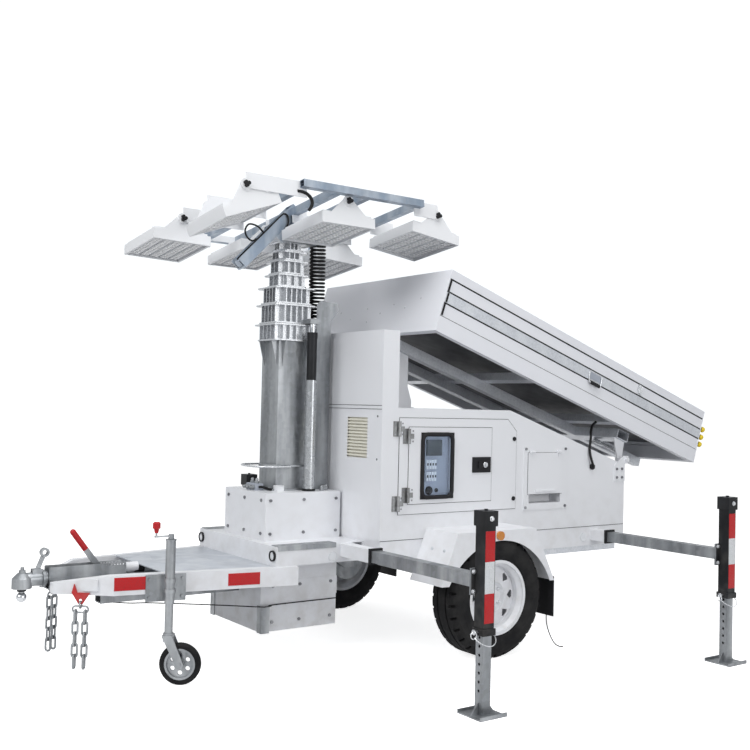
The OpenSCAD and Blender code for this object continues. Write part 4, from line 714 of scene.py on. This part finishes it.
# jacks: red and white tape on the outer face, bolted plate on the inner one, pull pin on its chain
jackHalf = 32
outriggers = {"near_front_outrigger": (-115, -1575, -1), "near_rear_outrigger": (1700, -1575, -1),
              "far_front_outrigger": (-42, 795, 1), "far_rear_outrigger": (1773, 795, 1)}
tapeValues = {"half": 28.5, "thick": 1.0, "rim": (3.0, 0.2, 0.2), "bands": [
    ("redTape", 691, 829), ("whiteTape", 548, 691), ("redTape", 415, 548)]}
plateValues = {"half": 53, "thick": 4, "low": 539, "high": 655, "rim": (2.0, 0.4, 1.0), "bolt": (9, 9),
               "boltX": (-43, 43), "boltZ": (552, 642), "seat": 4.2, "capOut": 39, "capHigh": 886}
boltShares = {"seat": 0.25, "washer": 1.35, "rim": 0.2, "dome": 0.06, "soft": 0.08}  # of height or radius
washerShape = (20, (), 0.4)
pinValues = {
    "pin": (6.5, 0, 16, 20, [("push", 3, 1.9), ("push", 6, 1)], 0.8), "pinX": -38, "pinZ": 376,
    "ring": {"major_radius": 17, "minor_radius": 2.2, "major_segments": 28, "minor_segments": 8},
    "ringX": -60, "ringZ": 362, "wire": 2.2, "steps": 4, "route": [
        (-60, 4, 352), (-50, 30, 334), (-26, 46, 321), (4, 48, 316), (28, 46, 325), (42, 34, 345),
        (40, 12, 366)]}


def startBolt(name, radius, height):  # six-sided head on a washer, pointing along Z
    seat = height * boltShares["seat"]
    wide, rim, dome, soft = (radius * boltShares[key] for key in ("washer", "rim", "dome", "soft"))
    washer = roundPiece(name, wide, 0, seat, *washerShape)
    head = roundPiece(name + "Head", radius, seat, height, 6, [("rim", rim, dome)], soft)
    return joinPieces([washer, head])


def addTapes(body, x, face, out, half, thick, rim, bands):
    for number, (finish, low, high) in enumerate(bands):
        tall = (high - low) / 2
        tape = softBox(body + "Tape" + str(number + 1), (-half, -tall, 0), (half, tall, thick), *rim, upward)
        tape.data.transform(placed((x, face, low + tall), -out * 90, "X"))
        finishPiece(tape, body, finish=finish)


def addJackPlate(body, x, y, out, half, thick, low, high, rim, bolt, boltX, boltZ, seat, capOut, capHigh):
    back = y - out * jackHalf
    y0, y1 = sorted((back, back + out * thick))
    plate = softBox(body + "Plate", (x - half, y0, low), (x + half, y1, high), *rim, (0, out, 0))
    finishPiece(plate, body, finish="blackCoat")
    spots = [(x + across, back + out * seat, z) for across in boltX for z in boltZ]
    spots = [placed(spot, -out * 90, "X") for spot in (*spots, (x, y + out * capOut, capHigh))]
    setCopies(startBolt(body + "Bolt", *bolt), body + "Bolt", spots, body, finish="castCollar")


def addPullPin(body, x, y, out, pin, pinX, pinZ, ring, ringX, ringZ, wire, steps, route):
    stub = roundPiece(body + "Pin", *pin, "castCollar")
    stub.data.transform(placed((x + pinX, y, pinZ), -90, "Y"))
    bpy.ops.mesh.primitive_torus_add(**ring)
    loop = dress(bpy.context.object, "castCollar")
    loop.data.transform(placed((x + ringX, y, ringZ), 90, "X"))
    route = [(x + across, y + out * ahead, z) for across, ahead, z in route]
    chain = softTube(body + "PinChain", route, steps, wire, "castCollar", 2)
    finishPiece(joinPieces([stub, loop, chain]), body)


for body, (x, y, out) in outriggers.items():
    addTapes(body, x, y + out * jackHalf, out, **tapeValues)
    addJackPlate(body, x, y, out, **plateValues)
    addPullPin(body, x, y, out, **pinValues)
print("jacks dressed")

# red reflectors on the outer faces of the drawbar rails: place along and up, length and height
reflectorValues = {"knee": (-1370, -285), "back": (-430, -453), "half": 25, "thick": 1.6,
                   "rim": (4.0, 0.3, 0.4), "places": [(-1289, 490, 160, 64), (-722, 483, 170, 62)]}


def addReflectors(knee, back, half, thick, rim, places):
    slope = (back[1] - knee[1]) / (back[0] - knee[0])
    for side, sideName in sides:
        for number, (x, z, long, tall) in enumerate(places):
            low, high = (-long / 2, -thick, -tall / 2), (long / 2, 0, tall / 2)
            strip = softBox(sideName + "Reflector" + str(number + 1), low, high, *rim)
            spot = (x, knee[1] + (x - knee[0]) * slope - half, z)
            strip.data.transform(placed(spot, math.degrees(math.atan(slope)), "Z"))
            if side > 0:
                mirrorPiece(strip)
            finishPiece(strip, "trailer", finish="redTape")


# emitter lenses under the floodlights: one lens, repeated in rows, the same for all six
lensValues = {"shape": (10.5, 0, 2.5, 12, [("push", 1.5, 0.8), ("push", 1.0, 0.55)]),
              "start": (-134, -165, -124), "rows": [((22, 0, 0), 2), ((60, 0, 0), 5), ((0, 30, 0), 12)]}


def addEmitterLenses(shape, start, rows):
    lens = roundPiece("emitterLens", *shape)
    lens.data.transform(placed(start, 180, "X"))
    for offset, count in rows:
        repeatPiece(lens, offset, count)
    for name in lampPlaces:
        finishPiece(copyPiece(lens, name + "Lenses"), name, lampFrame(name), "emitterLens")
    bpy.data.objects.remove(lens)


addReflectors(**reflectorValues)
addEmitterLenses(**lensValues)
print("reflectors and lenses placed")

# dark strips between the layers of the array: painted shade in the gaps
arrayLength, arrayHalf = 2450, 650
layerGapShadeValues = {"end": 6, "deep": 4, "half": 1.7, "rim": (1.0, 0.3, 0.2), "gaps": [93, 173, 237, 317]}


def addArrayGapShades(end, deep, half, rim, gaps):
    for side, sideName in sides:
        layerGapShade = softBox(sideName + "ArraySeals", (end, -deep, -half), (arrayLength - end, 0, half), *rim)
        spots = [placed((0, side * (arrayHalf - end), z), 90 + side * 90, "X") for z in gaps]
        # each strip paints the shade in one gap between layers
        setCopies(layerGapShade, sideName + "Seal", spots, "trailer", arrayFrame, "moulding", gaps)


# drop handle, with painted shade in its recess, and toggle on the near side of the array
handleValues = {
    "place": (1.312, -0.65, 0.205), "plate": ((-62, -4, -30), (62, 0, 30), 7, -2.5, 0.8),
    "back": ((-54, -2, -22), (54, -1, 22)), "recessShadeRim": 2, "wire": 4, "steps": 4, "bow": [
        (-58, -5, 18), (-58, -9, -20), (-52, -14, -44), (-30, -16, -50), (30, -16, -50), (52, -14, -44),
        (58, -9, -20), (58, -5, 18)],
    "grip": (9, -40, 40, 20, [("push", 4, 0.8)]), "gripFoot": (4, 0.8), "soft": 1.2,
    "gripPlace": (0, -16, -50)}
toggleValues = {"place": (1.74, -0.65, 0.277), "parts": {
    "arrayToggle": ((-14, -3, -34), (14, 0, 34), 3, 0.6, 0.6),
    "arrayToggleArm": ((-8, -13, -26), (8, -4, 30), 3, -2, 1.5),
    "arrayToggleHook": ((10, -9, -30), (26, 0, 4), 3, -2, 1)}}


def addArrayHandle(place, plate, back, recessShadeRim, wire, steps, bow, grip, gripFoot, soft, gripPlace):
    face = dress(softBox("arrayHandle", *plate), "castCollar")
    # grey plate in the handle's recess: painted shade
    shade = dress(startBox("arrayHandleRecessShade", *back), "greyPanel")
    insetFaces(shade, nearward, recessShadeRim, 0)
    bail = softTube("arrayHandleBow", bow, steps, wire, "castCollar", 3)
    hold = dress(roundPiece("arrayHandleGrip", *grip), "moulding")
    pushFaces(hold, (0, 0, -1), *gripFoot)
    softEdges(hold, soft)
    hold.data.transform(placed(gripPlace, 90, "Y"))
    finishPiece(joinPieces([face, shade, bail, hold]), "trailer", arrayFrame @ moved(*place))


def addArrayToggle(place, parts):
    toggle = joinPieces([softBox(name, *shape) for name, shape in parts.items()])
    finishPiece(toggle, "upper_panel", arrayFrame @ moved(*place), "castCollar")


# yellow plungers at the tail, by height
plungerValues = {"stem": (12, 0, 14, 20, [("rim", 3, 0)], 0.8), "soft": (3, 3), "inward": 16,
                 "knob": (12, 14, 21, 24, [("push", 3, 1.6), ("push", 19, 1)]),
                 "rides": {250: "upper_panel", 194: "trailer", 142: "lower_panel"}}


def addPlungers(stem, soft, inward, knob, rides):
    pieces = [roundPiece("plungerStem", *stem, "moulding"),
              dress(roundPiece("plungerKnob", *knob), "yellowKnob")]
    softEdges(pieces[1], *soft)
    spots = [placed((arrayLength, inward - arrayHalf, z), 90, "Y") for z in rides]
    for piece, body in zip(copies(joinPieces(pieces), "plunger", spots, list(rides)), rides.values()):
        finishPiece(piece, body, arrayFrame)


# dark corner seals at the nose, one on each sliding panel and one on the rail between them, and the rivets
endSealValues = {"x0": 7, "x1": 20, "proud": 2.4, "rim": (2, -0.8, 0.6), "seals": [
    ("upperEndSeal", "upper_panel", 241, 313, 0), ("middleEndSeal", "trailer", 177, 233, 5),
    ("lowerEndSeal", "lower_panel", 97, 169, 0)]}
rivetValues = {"shape": (5, 0, 1.5, 16, [("push", 1.2, 0.6)]), "spots": [
    (-430, 210), (-300, 160), (-180, 190), (-60, 140), (90, 180), (60, 90), (250, 120), (380, 170)]}


def addEndSeals(x0, x1, proud, rim, seals):
    for name, body, low, high, back in seals:
        strip = softBox(name, (x0 + back, -arrayHalf - proud, low), (x1 + back, -arrayHalf, high), *rim)
        finishPiece(strip, body, arrayFrame, "moulding")


def addFrontRounds(name, shape, spots, place, finish):  # turned pieces on a front face
    spots = [placed((0, y, z), -90, "Y") for y, z in spots]
    setCopies(roundPiece(name, *shape), name, spots, "trailer", place, finish)


addArrayGapShades(**layerGapShadeValues)
addArrayHandle(**handleValues)
addArrayToggle(**toggleValues)
addPlungers(**plungerValues)
addEndSeals(**endSealValues)
addFrontRounds("noseRivet", **rivetValues, place=arrayFrame, finish="castCollar")
print("array hardware placed")

# thin dark lines, painted shadow in the gaps round the doors and the flap and in the floor seams, and the
# window's rubber
lineValues = {  # plane, radius, corners in x and z, cut corner, body
    "outerDoorGapShadow": (-600.6, 1.5, (118.5, 788.5), (1001.5, 1321.5), 70, "trailer"),
    "innerDoorGapShadow": (-603.2, 1.5, (183.5, 843.5), (801.5, 1271.5), 0, "outer_door"),
    "flapGapShadow": (-604.2, 1.2, (1098, 868), (1392, 1122), 0, "trailer")}
seamValues = {"face": 600.3, "radius": 1.6, "route": (2, 990, 1978), "level": 650}
windowValues = {"x0": 280, "z0": 879, "x1": 496, "z1": 1231, "corner": 34, "steps": 6, "face": -609,
                "radius": 12}


def addLine(name, path, radius, body):
    finishPiece(tubeMesh(name, path, radius, "moulding", 1), body)


# a dark closed line round a door or the flap: painted shadow of its gap
def addGapShadow(name, y, radius, low, high, cut, body):
    (x0, z0), (x1, z1) = low, high
    corners = dict.fromkeys([(x0, z0), (x1, z0), (x1, z1 - cut), (x1 - cut, z1), (x0, z1)])
    path = [Vector((x, y, z)) for x, z in corners]
    middle = (path[0] + path[-1]) / 2
    addLine(name, [middle, *path, middle], radius, body)


# dark lines along the foot of both side walls: painted shade in the seam
def addFloorSeams(face, radius, route, level):
    for side, sideName in sides:
        addLine(sideName + "FloorSeam", [Vector((x, side * face, level)) for x in route], radius, "trailer")


def addWindowRubber(x0, z0, x1, z1, corner, steps, face, radius):
    path = []
    for x, z, start in ((x1 - corner, z1 - corner, 0), (x0 + corner, z1 - corner, 90),
                        (x0 + corner, z0 + corner, 180), (x1 - corner, z0 + corner, 270)):
        for turn in (math.radians(start + 90 * k / steps) for k in range(steps + 1)):
            path.append(Vector((x + corner * math.cos(turn), face, z + corner * math.sin(turn))))
    finishPiece(tubeMesh("windowRubber", path + path[:1], radius, "moulding"), "inner_door")


# control panel behind the window: display, two rows of breakers and two sockets
panelValues = {
    "place": (0, -0.585, 0), "display": ((322, -12, 1110), (430, 0, 1200), 12, -3, 2),
    "breaker": ((0, -9, 0), (15, 0, 52), 3, 2, 0.8), "lever": ((4, -14, 20), (11, -8, 34), 1.2, 0.6, 0.6),
    "breakerX": (320, 339, 358, 377), "breakerZ": (1035, 968), "socket": (24, 0, 8, 32, [("rim", 6, -5)], 1),
    "socketPlace": (345, 0, 915), "smallPlace": (400, 0, 915), "smallScale": 0.5}


def addControlPanel(place, display, breaker, lever, breakerX, breakerZ, socket, socketPlace, smallPlace,
                    smallScale):
    screen = dress(softBox("panelDisplay", *display), "darkDisplay")
    unit = joinPieces([dress(softBox("panelBreaker", *breaker), "lampCase"),
                       dress(softBox("panelBreakerLever", *lever), "moulding")])
    rows = copies(unit, "panelBreaker", [moved(x, 0, z) for z in breakerZ for x in breakerX])
    outlet = roundPiece("panelSocket", *socket, "moulding")
    small = copyPiece(outlet, "panelSocketSmall", placed(smallPlace, 90, "X") @ Matrix.Scale(smallScale, 4))
    outlet.data.transform(placed(socketPlace, 90, "X"))
    finishPiece(joinPieces([screen, *rows, outlet, small]), "inner_door", layoutFrame @ moved(*place))


for gapShadowName, gapShadowLine in lineValues.items():
    addGapShadow(gapShadowName, *gapShadowLine)
addFloorSeams(**seamValues)
addWindowRubber(**windowValues)
addControlPanel(**panelValues)
print("cabinet lines and control panel placed")

# wheel nuts, stud ends and valves, turning with the wheels
wheelValues = {"centre": (640, 765, 334), "count": 5, "first": 36, "nutPlace": (60, 0, 34),
               "nut": (10.5, 0, 10, 6, [("rim", 1.5, 1.0)], 0.5),
               "stud": (5.5, 10, 19, 16, [("push", 1.5, 0.7)]),
               "valve": (4, 0, 14, 16, [("push", 0.5, 1.4), ("push", 10, 1), ("push", 2, 0.6)]),
               "valveTurn": 200, "valvePlace": (172, 0, 25)}


def addWheelNuts(centre, count, first, nutPlace, nut, stud, valve, valveTurn, valvePlace):
    x, y, z = centre
    for side, sideName in sides:
        place = placed((x, side * y, z), -side * 90, "X")
        spots = [place @ turned(first + 360 / count * i, "Z") @ moved(*nutPlace) for i in range(count)]
        whole = joinPieces([roundPiece("wheelNut", *nut), roundPiece("wheelStud", *stud)])
        pieces = copies(dress(whole, "castCollar"), sideName + "WheelNut", spots)
        stem = dress(roundPiece(sideName + "WheelValve", *valve), "moulding")
        stem.data.transform(place @ turned(valveTurn, "Z") @ moved(*valvePlace))
        finishPiece(joinPieces([*pieces, stem]), sideName + "_wheel")


# dark strips along the sliding panels: painted shade in the joints of the array
panelGapShadeValues = {"x0": 8, "x1": 2442, "y0": -648.9, "y1": -646, "rim": (0.8, 0.2, 0.2), "gapShadeRows": [
    ("upper_panel", 310, 315), ("upper_panel", 239, 244.5), ("lower_panel", 166.5, 171)]}


def addPanelGapShades(x0, x1, y0, y1, rim, gapShadeRows):
    for number, (body, low, high) in enumerate(gapShadeRows):
        for side, sideName in sides:
            panelGapStrip = softBox(sideName + "PanelGapShade" + str(number + 1), (x0, y0, low), (x1, y1, high), *rim)
            if side > 0:
                mirrorPiece(panelGapStrip)
            finishPiece(panelGapStrip, body, arrayFrame, "moulding")


# screws of the door hinges, the round lock in the latch, and clear discs on the rear rail and the platform
hingeScrewShape = (5.0, 0, 1.2, 16, [("push", 1.2, 0.7), ("rim", 1.4, -0.8)])
outerScrews, innerScrews = (820, 880, 1230, 1290), (866, 924, 1191, 1249)
hingeScrewRows = {"shell": (88, -604, outerScrews, "trailer"), "door": (140, -603, outerScrews, "outer_door"),
                  "doorInner": (156, -607, innerScrews, "outer_door"),
                  "inner": (212, -605, innerScrews, "inner_door")}
lockValues = {"shape": (17, 0, 3, 32, [("push", 3, 0.85), ("rim", 4, -1.5)], 0.6), "spot": (740, -619, 1055)}
discShape = (27, 0, 4, 40, [("rim", 6, 1.5), ("rim", 2, -2.5)], 0.8)
discSpots = {"rail": (1598, -600, 584), "platform": (-199, -450, 564)}


def addHingeScrews(key, x, y, heights, body):
    spots = [placed((x, y, z), 90, "X") for z in heights]
    screw = roundPiece("hingeScrew", *hingeScrewShape, finish="darkBolt")
    setCopies(screw, key + "Screw", spots, body, keys=heights)


def addNearRound(name, shape, spot, body, slot, finish):  # a turned piece on a near wall
    piece = roundPiece(name, *shape)
    piece.data.transform(placed(spot, 90, "X"))
    finishPiece(piece, body, finish=finish)


# black hose from the gland on the near wall up to the array, and the ribbed strut beside it
hoseValues = {
    "gland": (19, 0, 6, 6, [("push", 0.5, 0.75), ("push", 12, 1)], 1.2), "glandPlace": (1664, -600, 1028),
    "radius": 8, "steps": 5, "route": [
        (1664, -606, 1028), (1660, -620, 1032), (1646, -622, 1062), (1638, -615, 1100), (1637, -609, 1140),
        (1646, -604, 1180), (1662, -594, 1212), (1700, -560, 1250), (1764, -515, 1290), (1838, -480, 1314)]}
strutValues = {"start": (1990, -532, 1126), "end": (1990, -330, 1186), "radius": 13, "corners": 24,
               "soft": 1.5, "ribRadius": 18, "ribWide": 7, "lowRibs": (12, 28, 44),
               "highRibs": (66, 50, 34, 18)}


def addHose(gland, glandPlace, radius, steps, route):
    nut = roundPiece("cableGland", *gland, "moulding")
    nut.data.transform(placed(glandPlace, 90, "X"))
    finishPiece(joinPieces([nut, softTube("arrayHose", route, steps, radius)]), "trailer")


def addStrut(start, end, radius, corners, soft, ribRadius, ribWide, lowRibs, highRibs):
    along = Vector(end) - Vector(start)
    rod = roundPiece("arrayStrut", radius, 0, along.length, corners, (), soft)
    rib = roundPiece("arrayStrutRib", ribRadius, 0, ribWide, corners, (), soft)
    levels = [*lowRibs, *(along.length - below for below in highRibs)]
    strut = joinPieces([rod, *copies(rib, "arrayStrutRib", [moved(0, 0, z) for z in levels])])
    strut.data.transform(moved(*start) @ along.to_track_quat("Z", "Y").to_matrix().to_4x4())
    finishPiece(strut, "trailer", finish="castCollar")


# supply leads on the drive arm and the near yoke of the lamp head: radius and route
leadSteps = 5
leadRoutes = {
    "armLead": (5, [(-396, -109, -309), (-390, -109, -297), (-300, -109, -209), (-200, -109, -111),
                    (-120, -109, -32), (-96, -112, -14), (-78, -119, -26), (-76, -121, -58), (-84, -119, -86),
                    (-96, -112, -100)]),
    "loopLead": (5, [(-212, -70, -124), (-250, -74, -96), (-304, -78, -92), (-331, -80, -130),
                     (-319, -78, -167), (-286, -74, -184), (-258, -70, -169)]),
    "yokeLead": (9, [(-282, -559, -37), (-252, -561, -38), (-224, -562, -46), (-202, -561, -64),
                     (-193, -558, -88), (-200, -555, -112), (-212, -553, -128)])}


def addLeads():
    leads = [softTube(name, route, leadSteps, radius) for name, (radius, route) in leadRoutes.items()]
    finishPiece(joinPieces(leads), "lamp_head", headFrame)


addWheelNuts(**wheelValues)
addPanelGapShades(**panelGapShadeValues)
for rowName, rowValues in hingeScrewRows.items():
    addHingeScrews(rowName, *rowValues)
addNearRound("doorLock", **lockValues, body="inner_door", slot="galvanised", finish="polishedRod")
addNearRound("railDisc", discShape, discSpots["rail"], "trailer", None, "clearLens")
addHose(**hoseValues)
addStrut(**strutValues)
addLeads()
print("wheel nuts, lips, hose and leads placed")

# oil fittings on the base box, with place and turn, and the cable hoop and lug at the foot of the mast
oilValues = {
    "block": ((-462, -50, 895), (-412, 60, 931), 5, 1.5, 2), "nut": (13, 0, 12, 6, [("rim", 3, 2)], 0.8),
    "cap": (9, 12, 26, 20, [("push", 4, 0.7)], 1), "radius": 7, "steps": 5,
    "fittings": [(-462, -32, 913, -90), (-462, 6, 913, -90), (-462, 42, 913, -90), (-437, -18, 931, 0),
                 (-437, 32, 931, 0), (-112, -186, 895, 0), (-78, -160, 895, 0), (-52, -140, 895, 0)],
    "route": [(-437, -46, 913), (-436, -70, 916), (-420, -90, 911), (-398, -94, 903), (-374, -93, 900)]}
hoopValues = {"level": 1031, "half": 149, "wire": 5.5, "start": -300, "turn": -405, "reach": 92, "bends": 12,
              "steps": 3}
lugShape = ((-376, -140, 895), (-330, -98, 926), 5, -4, 2)


def addOilFittings(block, nut, cap, radius, steps, fittings, route):
    base = dress(softBox("oilBlock", *block, upward), "greyPanel")
    unit = joinPieces([roundPiece("oilNut", *nut, "galvanised"), roundPiece("oilCap", *cap, "galvanised")])
    units = copies(unit, "oilFitting", [placed(spot, angle, "Y") for *spot, angle in fittings])
    hose = softTube("oilHose", route, steps, radius)
    finishPiece(joinPieces([base, *units, hose]), "trailer")


def addMastHoop(level, half, wire, start, turn, reach, bends, steps):
    angles = [math.pi * k / bends for k in range(bends + 1)]
    bend = [(turn - reach * math.sin(angle), -half * math.cos(angle), level) for angle in angles]
    route = [(start, -half, level), *bend, (start, half, level)]
    finishPiece(softTube("mastHoop", route, steps, wire, "castCollar"), "trailer")


# double seam across the front wall, drawn as dark lines that paint the shade in the seam, its screws, and the
# cream screen behind the louvre
frontValues = {"seams": {"frontSeam1": 1386, "frontSeam2": 1366}, "x": -0.3, "half": 597, "radius": 1.6,
               "screw": (6, 0, 1.5, 16, [("push", 1.5, 0.7), ("rim", 1.6, -0.8)]),
               "spots": [(-30, 1327), (-36, 1092), (-560, 1327), (-560, 1092)],
               "screen": ((12, -468, 1090), (14, -267, 1322), 4, 0.5, 0.4)}


def addFrontDetail(seams, x, half, radius, screw, spots, screen):
    for name, z in seams.items():
        addLine(name, [Vector((x, y, z)) for y in (-half, 0, half)], radius, "trailer")
    addFrontRounds("frontScrew", screw, spots, layoutFrame, "darkBolt")
    finishPiece(softBox("ventScreen", *screen, forward), "trailer", finish="creamSlat")


# brake cable below the drawbar, to the near wheel
brakeValues = {"radius": 3, "resolution": 3, "steps": 4, "route": [
    (-1262, -6, 344), (-1160, -10, 330), (-1047, -20, 322), (-780, -160, 311), (-560, -290, 301),
    (-520, -304, 300), (-488, -303, 301), (-462, -286, 302), (-62, -284, 302)]}


def addBrakeCable(radius, resolution, steps, route):
    cable = softTube("brakeCable", route, steps, radius, "cableRubber", resolution)
    finishPiece(cable, "trailer")


# bolts of the fender's front slope and of its seat on the rail
fenderValues = {"bolt": (7, 6), "slope": -68.4, "front": [(286.2, 702.5, 610), (286, 806.5, 609.4)],
                "rail": [(306, 600, 630), (285, 600, 578.5)]}


def addFenderBolts(bolt, slope, front, rail):
    for side, sideName in sides:
        spots = [placed((x, side * y, z), slope, "Y") for x, y, z in front]
        spots += [placed((x, side * y, z), -side * 90, "X") for x, y, z in rail]
        setCopies(startBolt("fenderBolt", *bolt), sideName + "FenderBolt", spots, finish="millAlloy")


addOilFittings(**oilValues)
addMastHoop(**hoopValues)
finishPiece(softBox("mastLug", *lugShape), "trailer", finish="whiteCoat")
addFrontDetail(**frontValues)
addNearRound("platformDisc", discShape, discSpots["platform"], "trailer", None, "clearLens")
addBrakeCable(**brakeValues)
addFenderBolts(**fenderValues)
print("mast foot and front detail placed")
